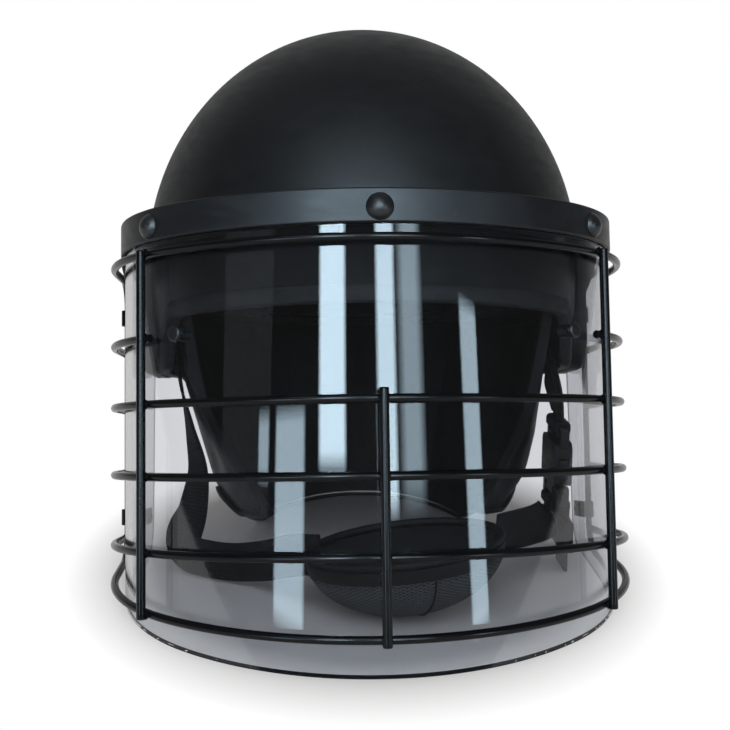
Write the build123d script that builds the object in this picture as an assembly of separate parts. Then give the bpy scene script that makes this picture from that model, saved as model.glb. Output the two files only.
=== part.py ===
from build123d import *
import os
from math import atan2, cos, degrees, radians, sin, sqrt, tan

# A riot helmet with a hinged clear visor and a wire face grille.
# Lengths are in millimetres and angles in degrees. The helmet is drawn upright: x runs across,
# y from the face to the nape, and z up from the level of the grille's middle cross wire.
# stand() then leans it back, as it stands on a table on the visor's edge and the neck guard.
# The loose chin strap, its buckle and the chin cup are drawn in that standing position.

# Standing
REST_TILT = 15.5
OVERRUN = 5

# Shell
SHELL_HALF_WIDTH = 137
SHELL_HALF_LENGTH = 148
SHELL_CROWN_RISE = 148
SHELL_SKIRT_DROP = 220
SHELL_CENTRE_Y = 10
SHELL_CENTRE_Z = 131
SHELL_WALL = 4
RIM_BROW_Z = 91
RIM_EAR_Z = 63
RIM_NAPE_Z = 46
RIM_BROW_END_Y = -66
RIM_EAR_FRONT_Y = -40
RIM_EAR_REAR_Y = 62
RIM_NAPE_START_Y = 84
RIM_BEND_RADIUS = 14
TRIM_WALL = 1.5
TRIM_HEIGHT = 8

# Face grille: wires bent to one plan line of a front arc, two corner arcs and straight sides
GRILLE_SIDE_ROOM = 13.5
GRILLE_FACE_ROOM = 22
GRILLE_CORNER_RADIUS = 110
GRILLE_SIDE_START_Y = -36
WIRE_RADIUS = 2.25
ROD_RADIUS = 2.5
WELD_DEPTH = 0.4
TOP_WIRE_Z = 120
BROW_WIRE_Z = 74.2
UPPER_WIRE_Z = 38.7
MIDDLE_WIRE_Z = 0
LOWER_WIRE_Z = -40.2
BOTTOM_WIRE_Z = -80.1
BOTTOM_WIRE_SLOPE = 9.3
REAR_ROD_Y = 8
TOP_BEND_RADIUS = 16
BOTTOM_BEND_RADIUS = 20
FRONT_ROD_ANGLE = 48.5
FRONT_ROD_TOP_Z = 121.5
CENTRE_ROD_TOP_Z = 44
ROD_END_DROP = 2.5
ROD_END_FILLET = 0.8

# Visor, a bent clear sheet whose lower edge is cut level with the table
VISOR_STANDOFF = 6
VISOR_WALL = 4
VISOR_TOP_Z = 143
VISOR_FOOT_Z = -100.3
VISOR_REAR_Y = 32
VISOR_REAR_CORNER_RADIUS = 26

# Visor hinge at the ears
PIVOT_Y = 24
PIVOT_Z = 125
EAR_RADIUS = 20
PIVOT_SHANK_RADIUS = 5
PIVOT_HEAD_RADIUS = 9
PIVOT_HEAD_HEIGHT = 3.4
PIVOT_SLOT_WIDTH = 1.6
PIVOT_SLOT_DEPTH = 1.2
RUNNING_CLEARANCE = 0.05
HOLE_CLEARANCE = 0.15
THREAD_CLEARANCE = 0.05
BUSH_RADIUS = 7
PIVOT_INSERT_RADIUS = 8
PIVOT_INSERT_DEPTH = 14
WASHER_RADIUS = 13
WASHER_END_GAP = 0.1

# Carrier band that holds the visor
BAND_WALL = 2.5
BAND_LOW_Z = 128
BAND_HIGH_Z = 146
BAND_CHAMFER = 1.4
EAR_LOW_Z = 109
EAR_START_Y = -54
EAR_FULL_Y = -12
EAR_BEND_RADIUS = 24
STRIP_WALL = 2
STRIP_END_ANGLE = 64
BAND_SCREW_Z = 136
BAND_SCREW_ANGLE = 51
SCREW_HEAD_RADIUS = 7.2
SCREW_HEAD_HEIGHT = 4.4
SCREW_SHANK_RADIUS = 3
NUT_RADIUS = 5.4
NUT_HEIGHT = 3
SEAT_GAP = 0.2

# Brow seal between the shell and the visor's backing strip
SEAL_GAP = 5
SEAL_LOW_Z = 130
SEAL_HIGH_Z = 143
SEAL_END_Y = -62

# Pivot pads at the ears
PAD_FACE_GAP = 1.2
PAD_FRONT_Y = -30
PAD_REAR_Y = 52
PAD_TOP_Z = 139
PAD_FOOT_Z = 61
PAD_CORNER_RADIUS = 20
PAD_EDGE_ROUND = 3

# Grille clips on the rear rods and studs on the visor
CLIP_HEIGHT = 10
CLIP_UPPER_Z = 98
CLIP_LOWER_Z = -28
CLIP_WALL = 1.7
CLIP_GAP = 0.1
CLIP_TAB_LENGTH = 19
CLIP_SCREW_RADIUS = 2
CLIP_HEAD_RADIUS = 4
CLIP_HEAD_HEIGHT = 2.2
CLIP_SCREW_SETBACK = 5
STUD_RADIUS = 2
STUD_HEAD_RADIUS = 4.2
STUD_HEAD_HEIGHT = 2
STUD_NUT_RADIUS = 3.6
STUD_NUT_HEIGHT = 6
STUD_Z = 76
STUD_ANGLE = 40

# Foam liner and comfort pads inside the shell
LINER_GAP = 0.3
LINER_WALL = 22
LINER_FOOT_Z = 107
COMFORT_GAP = 0.4
COMFORT_WALL = 12
CROWN_PAD_RADIUS = 44
BROW_PAD_HALF_WIDTH = 72
BROW_PAD_LOW_Z = 110
BROW_PAD_HIGH_Z = 150
SIDE_PAD_FRONT_Y = -46
SIDE_PAD_REAR_Y = 66
SIDE_PAD_LOW_Z = 146
SIDE_PAD_HIGH_Z = 192
COMFORT_CORNER_RADIUS = 12

# Soft neck guard with its cheek flaps
GUARD_TOP_Z = 98
GUARD_FOOT_Z = -36
GUARD_TOP_SIDE_SETBACK = 11
GUARD_TOP_END_SETBACK = 14
GUARD_FOOT_SIDE_SETBACK = 50
GUARD_FOOT_END_SETBACK = 28.5
GUARD_WALL = 6
FLAP_TOP_FRONT_Y = -56
FLAP_WAIST_Y = -34
FLAP_WAIST_Z = 40
FLAP_TIP_Y = -84
FLAP_TIP_Z = -25
FLAP_TIP_HEEL_Y = -52
FLAP_ARCH_Y = -8
FLAP_ARCH_Z = -10
FLAP_BEND_RADIUS = 18
FLAP_TIP_RADIUS = 12
FLAP_SEAM_Y = 40
NAPE_FOOT_START_Y = 74
SEAM_GAP = 0.4
PIPING_WIDTH = 2.4
PIPING_OUTSET = 0.8
SNAP_RADIUS = 6
SNAP_Z = 84
SNAP_ANGLES = (8, 45, 90, 135, 172)
SNAP_GAP = 0.2

# Chin strap, anchors, buckle and keeper
ANCHOR_WALL = 1.6
ANCHOR_Y = -8
ANCHOR_Z = 82
ANCHOR_WIDTH = 28
ANCHOR_HEIGHT = 16
ANCHOR_CORNER_RADIUS = 4
ANCHOR_RIVET_RADIUS = 2.5
ANCHOR_RIVET_HEAD_RADIUS = 4.5
ANCHOR_RIVET_HEAD_HEIGHT = 1
ANCHOR_RIVET_STANDOFF = 0.8
WEB_WIDTH = 24
WEB_THICKNESS = 2
WEB_GAP = 0.3
TABLE_GAP = 0.4
STRAP_END_RISE = 8
LEFT_HANG_SHARES = (
    (-0.86, 0.035, 0.82),
    (-0.835, 0.01, 0.70),
    (-0.81, -0.05, 0.565),
    (-0.79, -0.11, 0.41),
    (-0.81, -0.165, 0.245),
    (-0.85, -0.215, 0.015),
)
LEFT_HANG_NORMALS_SHARE = (
    (-1, -0.1, 0),
    (-1, -0.1, 0),
    (-1, -0.1, 0),
    (-1, -0.3, 0),
    (-1, -0.8, 0),
    (-0.6, -1, 0),
    (-0.1, -1, 0),
    (0, -1, 0),
)
LEFT_TRAIL_SHARES = (
    (-0.90, -0.213, 0.088),
    (-0.78, -0.27, 0.088),
    (-0.61, -0.32, 0.094),
    (-0.45, -0.45, 0.145),
    (-0.32, -0.58, 0.215),
    (-0.22, -0.64, 0.235),
)
LEFT_TRAIL_NORMALS_SHARE = (
    (-0.1, -1, 0),
    (-0.2, -1, 0),
    (-0.35, -1, 0),
    (-0.7, -0.8, 0),
    (-0.8, -0.6, 0),
    (-0.7, -0.6, 0),
)
CUP_SEAM_GAP = 0.1
BUCKLE_SIDE_SETBACK = 22
BUCKLE_Y = -30
BUCKLE_MOUTH_Z = 56
BUCKLE_WIDTH = 34
BUCKLE_THICKNESS = 11
BUCKLE_BODY_LENGTH = 27
BUCKLE_BAR_LENGTH = 10
BUCKLE_BAR_THICKNESS = 5
BUCKLE_BAR_WIDTH = 3
BUCKLE_WALL = 2.4
BUCKLE_CORNER_RADIUS = 5
BUCKLE_WINDOW_LOW = 7
BUCKLE_WINDOW_HIGH = 18
PLUG_BASE_LENGTH = 14
PLUG_BASE_THICKNESS = 8
PLUG_GAP = 0.5
GUIDE_WIDTH = 5
PRONG_ROOT_X = 10
PRONG_ROOT_RADIUS = 2.3
PRONG_ROOT_DROP = 3.2
PRONG_NECK_WIDTH = 2.6
PRONG_LENGTH = 21
PRONG_SIDE_GAP = 0.4
PRONG_LATCH_GAP = 1.1
PRONG_BULGE = 3
PRONG_SWING = 12
KEEPER_WALL = 2.2
KEEPER_HEIGHT = 19
KEEPER_Z = 23
KEEPER_GAP = 0.3
RIGHT_HANG_SHARES = (
    (0.845, -0.01, 0.82),
    (0.838, -0.115, 0.765),
    (0.84, -0.198, 0.70),
)
RIGHT_LOWER_SHARES = (
    (0.79, -0.255, 0.235),
    (0.70, -0.37, 0.245),
    (0.59, -0.51, 0.275),
    (0.49, -0.63, 0.30),
)
RIGHT_LOWER_NORMALS_SHARE = (
    (1, 0, 0),
    (0.9, -0.5, 0.5),
    (0.8, -0.7, 0.15),
    (0.9, -0.6, 0),
    (0.8, -0.6, 0),
)

# Chin cup, an oblong bowl lying on the table, sewn between the straps
CUP_X = 16
CUP_Y = -95
CUP_HALF_LENGTH = 56
CUP_HALF_WIDTH = 35
CUP_DEPTH = 38
CUP_TILT = 6
CUP_RISE = 0.5
CUP_WALL = 4
CUP_LINING_WALL = 3
CUP_PIPING_RADIUS = 2.2

# Values worked out from the sizes above: the grille stands clear of the shell at its sides and
# face, and the guard and the buckle hang inside the shell's sides
GRILLE_HALF_WIDTH = SHELL_HALF_WIDTH + GRILLE_SIDE_ROOM
GRILLE_FRONT_DEPTH = SHELL_HALF_LENGTH - SHELL_CENTRE_Y + GRILLE_FACE_ROOM
GUARD_TOP_HALF_WIDTH = SHELL_HALF_WIDTH - GUARD_TOP_SIDE_SETBACK
GUARD_TOP_HALF_LENGTH = SHELL_HALF_LENGTH - GUARD_TOP_END_SETBACK
GUARD_FOOT_HALF_WIDTH = SHELL_HALF_WIDTH - GUARD_FOOT_SIDE_SETBACK
GUARD_FOOT_HALF_LENGTH = SHELL_HALF_LENGTH - GUARD_FOOT_END_SETBACK
BUCKLE_X = SHELL_HALF_WIDTH - BUCKLE_SIDE_SETBACK
HALF_SPAN = GRILLE_HALF_WIDTH + 2 * OVERRUN
VISOR_INSET = VISOR_STANDOFF + VISOR_WALL
STRIP_INSET = VISOR_INSET + STRIP_WALL
BAND_INSET = VISOR_STANDOFF - BAND_WALL
PAD_FACE_X = GRILLE_HALF_WIDTH - VISOR_INSET - PAD_FACE_GAP
BAND_FACE_X = GRILLE_HALF_WIDTH - BAND_INSET
VISOR_FRONT_Y = VISOR_STANDOFF - GRILLE_FRONT_DEPTH
LINER_INSET = SHELL_WALL + LINER_GAP
COMFORT_INSET = LINER_INSET + LINER_WALL + COMFORT_GAP
ROD_OFFSET = WIRE_RADIUS + ROD_RADIUS - WELD_DEPTH


def side_solid(points, radii, half_span=HALF_SPAN):
    """A closed outline in the y-z plane, rounded at its corners, carried across the helmet."""
    outline = FilletPolyline(*points, radius=radii, close=True)
    return extrude(make_face(Plane.YZ * outline), amount=half_span, both=True)


def side_plane(y, z):
    """A plane in the middle of the helmet, seen from its right side."""
    return Plane(origin=(0, y, z), x_dir=(0, 1, 0), z_dir=(1, 0, 0))


def cross_pin(radius, x_from, x_to, y, z):
    """A round bar across the helmet, from x_from to x_to."""
    return Pos((x_from + x_to) / 2, y, z) * Rot(Y=90) * Cylinder(radius, abs(x_to - x_from))


def both_sides(shape):
    """The shape and its mirror image on the other side of the helmet."""
    return [shape, mirror(shape, about=Plane.YZ)]


def group(shapes):
    """Separate solids that share one name."""
    return Compound([solid for shape in shapes for solid in shape.solids()])


def table_height(y):
    """Height of the table under the tilted helmet, in the upright drawing."""
    return VISOR_FOOT_Z + (y - VISOR_FRONT_Y) * tan(radians(REST_TILT))


def stand(shape):
    """Lean a piece back and set it on the table, whose top is z = 0."""
    tilt = radians(REST_TILT)
    lift = VISOR_FRONT_Y * sin(tilt) - VISOR_FOOT_Z * cos(tilt)
    return Pos(0, 0, lift) * Rot(X=-REST_TILT) * shape


# Shell


def dome_form(inset=0):
    """The shell's outer form drawn in by inset: two quarter ellipses turned about the upright axis."""
    half_length = SHELL_HALF_LENGTH - inset
    crown = SHELL_CROWN_RISE - inset
    skirt = SHELL_SKIRT_DROP - inset
    upper = EllipticalCenterArc((0, 0), half_length, crown, 0, arc_size=90)
    lower = EllipticalCenterArc((0, 0), half_length, skirt, -90, arc_size=90)
    axis_line = Line((0, crown), (0, -skirt))
    turned = revolve(make_face(Plane.XZ * Curve([upper, lower, axis_line])), Axis.Z, 360)
    narrowed = scale(turned, by=((SHELL_HALF_WIDTH - inset) / half_length, 1, 1))
    return Pos(0, SHELL_CENTRE_Y, SHELL_CENTRE_Z) * narrowed


def rim_region(raise_by=0):
    """Everything above the shell's rim line, or above that line raised."""
    front = SHELL_CENTRE_Y - SHELL_HALF_LENGTH - OVERRUN
    rear = SHELL_CENTRE_Y + SHELL_HALF_LENGTH + OVERRUN
    top = SHELL_CENTRE_Z + SHELL_CROWN_RISE + OVERRUN
    points = [
        (front, RIM_BROW_Z + raise_by),
        (RIM_BROW_END_Y, RIM_BROW_Z + raise_by),
        (RIM_EAR_FRONT_Y, RIM_EAR_Z + raise_by),
        (RIM_EAR_REAR_Y, RIM_EAR_Z + raise_by),
        (RIM_NAPE_START_Y, RIM_NAPE_Z + raise_by),
        (rear, RIM_NAPE_Z + raise_by),
        (rear, top),
        (front, top),
    ]
    bend = RIM_BEND_RADIUS
    return side_solid(points, [0, bend, bend, bend, bend, 0, 0, 0])


def shell_walls():
    """The shell before its holes."""
    return (dome_form() - dome_form(SHELL_WALL)) & rim_region()


def make_shell():
    """Dome with its brow, ear and nape rims, and the bores of the hinge inserts and strap rivets."""
    insert_bore = PIVOT_INSERT_RADIUS + THREAD_CLEARANCE
    inserts = cross_pin(insert_bore, -HALF_SPAN, HALF_SPAN, PIVOT_Y, PIVOT_Z)
    rivet_bore = ANCHOR_RIVET_RADIUS + THREAD_CLEARANCE
    rivets = cross_pin(rivet_bore, -HALF_SPAN, HALF_SPAN, ANCHOR_Y, ANCHOR_Z)
    return shell_walls() - inserts - rivets


def make_edge_trim():
    """Rubber channel pressed over the rim, open upwards round the shell's wall."""
    thick = dome_form(-TRIM_WALL) - dome_form(SHELL_WALL + TRIM_WALL)
    strip = (thick & rim_region(-TRIM_WALL)) - rim_region(TRIM_HEIGHT)
    return strip - shell_walls()


def make_pivot_pad():
    """Moulded pad at the right ear: flat outside, hollowed inside to the shell's curve."""
    width = PAD_REAR_Y - PAD_FRONT_Y
    height = PAD_TOP_Z - PAD_FOOT_Z
    middle = side_plane((PAD_FRONT_Y + PAD_REAR_Y) / 2, (PAD_TOP_Z + PAD_FOOT_Z) / 2)
    block = extrude(middle * RectangleRounded(width, height, PAD_CORNER_RADIUS), amount=PAD_FACE_X)
    block = fillet(block.faces().sort_by(Axis.X)[-1].edges(), PAD_EDGE_ROUND)
    trim_form = dome_form(-TRIM_WALL) - rim_region(TRIM_HEIGHT)
    bore = cross_pin(PIVOT_INSERT_RADIUS + THREAD_CLEARANCE, 0, HALF_SPAN, PIVOT_Y, PIVOT_Z)
    return block - dome_form() - trim_form - bore


def make_pivot_insert():
    """Threaded bush moulded into the right pad, through the shell."""
    inner_x = PAD_FACE_X - PIVOT_INSERT_DEPTH
    bush = cross_pin(PIVOT_INSERT_RADIUS, inner_x, PAD_FACE_X, PIVOT_Y, PIVOT_Z)
    bore = PIVOT_SHANK_RADIUS + THREAD_CLEARANCE
    return bush - cross_pin(bore, inner_x - OVERRUN, HALF_SPAN, PIVOT_Y, PIVOT_Z)


def make_pivot_screw():
    """Shoulder screw on which the right ear of the visor turns, with a slotted head."""
    face = BAND_FACE_X + WASHER_END_GAP
    shank = cross_pin(PIVOT_SHANK_RADIUS, PAD_FACE_X - PIVOT_INSERT_DEPTH, face, PIVOT_Y, PIVOT_Z)
    head = cross_pin(PIVOT_HEAD_RADIUS, face, face + PIVOT_HEAD_HEIGHT, PIVOT_Y, PIVOT_Z)
    head = fillet(head.faces().sort_by(Axis.X)[-1].edges(), PIVOT_HEAD_HEIGHT / 2)
    slot = Pos(face + PIVOT_HEAD_HEIGHT, PIVOT_Y, PIVOT_Z)
    slot = slot * Box(2 * PIVOT_SLOT_DEPTH, PIVOT_SLOT_WIDTH, 2 * PIVOT_HEAD_RADIUS)
    return shank + head - slot


def make_friction_washer():
    """Washer between the right pad and the visor."""
    inner_x = PAD_FACE_X
    outer_x = PAD_FACE_X + PAD_FACE_GAP - WASHER_END_GAP
    disc = cross_pin(WASHER_RADIUS, inner_x, outer_x, PIVOT_Y, PIVOT_Z)
    return disc - cross_pin(PIVOT_SHANK_RADIUS + RUNNING_CLEARANCE, 0, HALF_SPAN, PIVOT_Y, PIVOT_Z)


# Plan line of the grille, visor and band


def plan_numbers(inset=0):
    """Front radius, corner radius, corner centre, front centre and junction angle of the plan line."""
    corner_x = GRILLE_HALF_WIDTH - GRILLE_CORNER_RADIUS
    reach = GRILLE_SIDE_START_Y + GRILLE_FRONT_DEPTH
    front_radius = (corner_x**2 + reach**2 - GRILLE_CORNER_RADIUS**2) / (2 * (reach - GRILLE_CORNER_RADIUS))
    front_y = front_radius - GRILLE_FRONT_DEPTH
    junction = degrees(atan2(corner_x, front_y - GRILLE_SIDE_START_Y))
    return front_radius - inset, GRILLE_CORNER_RADIUS - inset, corner_x, front_y, junction


def plan_arcs(inset=0):
    """Left corner arc, front arc and right corner arc of the plan line, drawn in by inset."""
    front_radius, corner_radius, corner_x, front_y, junction = plan_numbers(inset)
    left = CenterArc((-corner_x, GRILLE_SIDE_START_Y), corner_radius, 180, 90 - junction)
    front = CenterArc((0, front_y), front_radius, 270 - junction, 2 * junction)
    right = CenterArc((corner_x, GRILLE_SIDE_START_Y), corner_radius, 270 + junction, 90 - junction)
    return [left, front, right]


def plan_line(inset=0, rear_y=REAR_ROD_Y):
    """The whole plan line, with straight sides back to rear_y."""
    half = GRILLE_HALF_WIDTH - inset
    left = Line((-half, rear_y), (-half, GRILLE_SIDE_START_Y))
    right = Line((half, GRILLE_SIDE_START_Y), (half, rear_y))
    return [left] + plan_arcs(inset) + [right]


def plan_region(inset, rear_y, low_z, high_z):
    """Everything inside the plan line, between two heights."""
    half = GRILLE_HALF_WIDTH - inset
    closing = Line((half, rear_y), (-half, rear_y))
    face = make_face(plan_line(inset, rear_y) + [closing])
    return Pos(0, 0, low_z) * extrude(face, amount=high_z - low_z)


def bent_wall(outer_inset, inner_inset, rear_y, low_z, high_z):
    """A sheet bent round the plan line."""
    outer = plan_region(outer_inset, rear_y, low_z, high_z)
    inner = plan_region(inner_inset, rear_y + OVERRUN, low_z - OVERRUN, high_z + OVERRUN)
    return outer - inner


def corner_plane(angle, inset, z):
    """A plane square to the right corner arc, at angle from straight ahead, facing outwards."""
    _, corner_radius, corner_x, _, _ = plan_numbers(inset)
    across = sin(radians(angle))
    ahead = -cos(radians(angle))
    origin = (corner_x + corner_radius * across, GRILLE_SIDE_START_Y + corner_radius * ahead, z)
    return Plane(origin=origin, x_dir=(-ahead, across, 0), z_dir=(across, ahead, 0))


def front_plane(inset, z):
    """A plane at the front centre of the plan line, facing forwards."""
    return Plane(origin=(0, inset - GRILLE_FRONT_DEPTH, z), x_dir=(1, 0, 0), z_dir=(0, -1, 0))


# Visor assembly


def visor_outline():
    """Side outline of the visor, with the ears at the hinge and the foot level with the table."""
    front = -GRILLE_FRONT_DEPTH - OVERRUN
    ear_rear = PIVOT_Y + EAR_RADIUS
    return side_solid(
        [
            (front, table_height(front)),
            (VISOR_REAR_Y, table_height(VISOR_REAR_Y)),
            (ear_rear, PIVOT_Z - EAR_RADIUS),
            (ear_rear, VISOR_TOP_Z),
            (front, VISOR_TOP_Z),
        ],
        [0, VISOR_REAR_CORNER_RADIUS, EAR_RADIUS / 2, EAR_RADIUS - WASHER_END_GAP, 0],
    )


def make_visor():
    """Clear sheet with its hinge holes, screw holes and stud holes."""
    low = VISOR_FOOT_Z - OVERRUN
    sheet = bent_wall(VISOR_STANDOFF, VISOR_INSET, PIVOT_Y + 2 * EAR_RADIUS, low, VISOR_TOP_Z + OVERRUN)
    sheet = sheet & visor_outline()
    sheet = sheet - bush_bore()
    for place in band_screw_planes():
        sheet = sheet - place * Cylinder(SCREW_SHANK_RADIUS + HOLE_CLEARANCE, 4 * VISOR_WALL)
    for place in stud_planes():
        sheet = sheet - place * Cylinder(STUD_RADIUS + HOLE_CLEARANCE, 4 * VISOR_WALL)
    for z in (CLIP_UPPER_Z, CLIP_LOWER_Z):
        hole = cross_pin(CLIP_SCREW_RADIUS + HOLE_CLEARANCE, -HALF_SPAN, HALF_SPAN, clip_screw_y(), z)
        sheet = sheet - hole
    return sheet


def bush_bore():
    """Bore of the ear bushes through the visor and the band."""
    return cross_pin(BUSH_RADIUS + THREAD_CLEARANCE, -HALF_SPAN, HALF_SPAN, PIVOT_Y, PIVOT_Z)


def band_screw_planes():
    """Places of the three band screws, on the band's outer face."""
    right = corner_plane(BAND_SCREW_ANGLE, BAND_INSET, BAND_SCREW_Z)
    left = Plane(
        origin=(-right.origin.X, right.origin.Y, right.origin.Z),
        x_dir=(right.x_dir.X, -right.x_dir.Y, 0),
        z_dir=(-right.z_dir.X, right.z_dir.Y, 0),
    )
    return [front_plane(BAND_INSET, BAND_SCREW_Z), right, left]


def band_outline():
    """Side outline of the band: a level brow strip that widens into the ears."""
    front = -GRILLE_FRONT_DEPTH - OVERRUN
    ear_rear = PIVOT_Y + EAR_RADIUS
    return side_solid(
        [
            (front, BAND_LOW_Z),
            (EAR_START_Y, BAND_LOW_Z),
            (EAR_FULL_Y, EAR_LOW_Z),
            (ear_rear, EAR_LOW_Z),
            (ear_rear, BAND_HIGH_Z),
            (front, BAND_HIGH_Z),
        ],
        [0, EAR_BEND_RADIUS, EAR_BEND_RADIUS, EAR_RADIUS / 2, EAR_RADIUS - WASHER_END_GAP, 0],
    )


def make_carrier_band():
    """Brow band with chamfered edges in front and an ear at each end, bored for its screws."""
    rear = PIVOT_Y + 2 * EAR_RADIUS
    wall = bent_wall(BAND_INSET, VISOR_STANDOFF, rear, EAR_LOW_Z - OVERRUN, BAND_HIGH_Z + OVERRUN)
    band = wall & band_outline()
    chamfered = band.edges().filter_by(lambda edge: is_outer_brow_edge(edge))
    band = chamfer(chamfered, BAND_CHAMFER)
    band = band - bush_bore()
    for place in band_screw_planes():
        band = band - place * Cylinder(SCREW_SHANK_RADIUS + HOLE_CLEARANCE, 4 * VISOR_WALL)
    return band


def is_outer_brow_edge(edge):
    """Whether an edge is one of the band's outer arcs, at its top or bottom."""
    if edge.geom_type != GeomType.CIRCLE:
        return False
    edge_z = edge.center().Z
    level = min(abs(edge_z - BAND_LOW_Z), abs(edge_z - BAND_HIGH_Z)) < WELD_DEPTH
    front_radius, corner_radius, _, _, _ = plan_numbers(BAND_INSET)
    outer = min(abs(edge.radius - front_radius), abs(edge.radius - corner_radius)) < WELD_DEPTH
    return level and outer


def make_backing_strip():
    """Flat strip behind the visor's top edge, between the outer band screws."""
    wall = bent_wall(VISOR_INSET, STRIP_INSET, 0, BAND_LOW_Z, VISOR_TOP_Z)
    end = corner_plane(STRIP_END_ANGLE, VISOR_INSET, BAND_LOW_Z).origin
    front = Pos(0, end.Y - GRILLE_FRONT_DEPTH, BAND_SCREW_Z)
    strip = wall & front * Box(2 * HALF_SPAN, 2 * GRILLE_FRONT_DEPTH, 2 * GRILLE_FRONT_DEPTH)
    for place in band_screw_planes():
        hole = Cylinder(SCREW_SHANK_RADIUS + HOLE_CLEARANCE, 4 * (VISOR_WALL + STRIP_WALL))
        strip = strip - place * hole
    return strip


def make_band_screws():
    """Three domed screws through band, visor and strip."""
    depth = STRIP_INSET - BAND_INSET + SEAT_GAP + NUT_HEIGHT
    sphere_radius = (SCREW_HEAD_RADIUS**2 + SCREW_HEAD_HEIGHT**2) / (2 * SCREW_HEAD_HEIGHT)
    ball = Pos(0, 0, SCREW_HEAD_HEIGHT - sphere_radius) * Sphere(sphere_radius)
    head = ball & Pos(0, 0, sphere_radius) * Box(2 * sphere_radius, 2 * sphere_radius, 2 * sphere_radius)
    shank = Pos(0, 0, -depth / 2) * Cylinder(SCREW_SHANK_RADIUS, depth)
    return group([place * (head + shank) for place in band_screw_planes()])


def make_band_nuts():
    """Hexagon nuts on the band screws, behind the strip."""
    nuts = []
    for place in band_screw_planes():
        seat = Pos(0, 0, BAND_INSET - STRIP_INSET - SEAT_GAP - NUT_HEIGHT)
        nut = seat * extrude(RegularPolygon(NUT_RADIUS, 6), amount=NUT_HEIGHT)
        nut = nut - Cylinder(SCREW_SHANK_RADIUS + THREAD_CLEARANCE, 8 * VISOR_WALL)
        nuts.append(place * nut)
    return group(nuts)


def make_ear_bush():
    """Bush pressed through the right ear and the visor, turning on the hinge screw."""
    inner_x = GRILLE_HALF_WIDTH - VISOR_INSET
    bush = cross_pin(BUSH_RADIUS, inner_x, BAND_FACE_X, PIVOT_Y, PIVOT_Z)
    return bush - cross_pin(PIVOT_SHANK_RADIUS + RUNNING_CLEARANCE, 0, HALF_SPAN, PIVOT_Y, PIVOT_Z)


def make_brow_seal():
    """Foam strip on the shell's brow that closes the gap behind the band."""
    block = plan_region(STRIP_INSET + SEAL_GAP, 0, SEAL_LOW_Z, SEAL_HIGH_Z)
    front = Pos(0, SEAL_END_Y - GRILLE_FRONT_DEPTH, SEAL_LOW_Z)
    front = front * Box(2 * HALF_SPAN, 2 * GRILLE_FRONT_DEPTH, 2 * GRILLE_FRONT_DEPTH)
    return (block & front) - dome_form()


# Grille


def side_run(sign):
    """One side of the grille's frame: top corner, rear rod and bottom corner, as one line."""
    x = sign * GRILLE_HALF_WIDTH
    slope = tan(radians(BOTTOM_WIRE_SLOPE))
    rod_foot_z = BOTTOM_WIRE_Z + (REAR_ROD_Y + GRILLE_FRONT_DEPTH) * slope
    start_foot_z = BOTTOM_WIRE_Z + (GRILLE_SIDE_START_Y + GRILLE_FRONT_DEPTH) * slope
    points = [
        (GRILLE_SIDE_START_Y, TOP_WIRE_Z),
        (REAR_ROD_Y, TOP_WIRE_Z),
        (REAR_ROD_Y, rod_foot_z),
        (GRILLE_SIDE_START_Y, start_foot_z),
    ]
    run = FilletPolyline(*points, radius=[TOP_BEND_RADIUS, BOTTOM_BEND_RADIUS])
    return Pos(x, 0, 0) * (Plane.YZ * run)


def bottom_arcs():
    """The frame's bottom wire: the plan line's arcs laid on a plane that rises to the rear."""
    front_radius, corner_radius, corner_x, front_y, junction = plan_numbers()
    slope = radians(BOTTOM_WIRE_SLOPE)
    stretch = cos(slope)
    origin = (0, -GRILLE_FRONT_DEPTH, BOTTOM_WIRE_Z)
    tilted = Plane(origin=origin, x_dir=(1, 0, 0), z_dir=(0, -sin(slope), cos(slope)))
    corner_v = (GRILLE_SIDE_START_Y + GRILLE_FRONT_DEPTH) / stretch
    front_v = (front_y + GRILLE_FRONT_DEPTH) / stretch
    left = EllipticalCenterArc(
        (-corner_x, corner_v), corner_radius, corner_radius / stretch, 180, arc_size=90 - junction
    )
    front = EllipticalCenterArc(
        (0, front_v), front_radius, front_radius / stretch, 270 - junction, arc_size=2 * junction
    )
    right = EllipticalCenterArc(
        (corner_x, corner_v), corner_radius, corner_radius / stretch, 270 + junction, arc_size=90 - junction
    )
    return [tilted * arc for arc in (left, front, right)]


def make_grille_frame():
    """Outer frame of the grille: one wire along the top, down the rear rods and along the bottom."""
    edges = [Pos(0, 0, TOP_WIRE_Z) * arc for arc in plan_arcs()] + bottom_arcs()
    runs = [edge for sign in (-1, 1) for edge in side_run(sign).edges()]
    path = Wire([edge.edge() for edge in edges] + runs)
    return sweep((path ^ 0) * Circle(WIRE_RADIUS), path=path)


def frame_rear_y(z):
    """How far back the frame's centre line is at a height, on the rear rod or its bottom bend."""
    bend_share = tan(radians(45 + BOTTOM_WIRE_SLOPE / 2)) ** -1
    foot_z = BOTTOM_WIRE_Z + (REAR_ROD_Y + GRILLE_FRONT_DEPTH) * tan(radians(BOTTOM_WIRE_SLOPE))
    below = foot_z + BOTTOM_BEND_RADIUS * bend_share - z
    if below <= 0:
        return REAR_ROD_Y
    return REAR_ROD_Y - BOTTOM_BEND_RADIUS + sqrt(BOTTOM_BEND_RADIUS**2 - below**2)


def make_cross_wire(z):
    """A cross wire from one rear rod round the front to the other."""
    rear = frame_rear_y(z) - WIRE_RADIUS + WELD_DEPTH
    path = Pos(0, 0, z) * Wire([edge.edge() for edge in plan_line(0, rear)])
    return sweep((path ^ 0) * Circle(WIRE_RADIUS), path=path)


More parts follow.
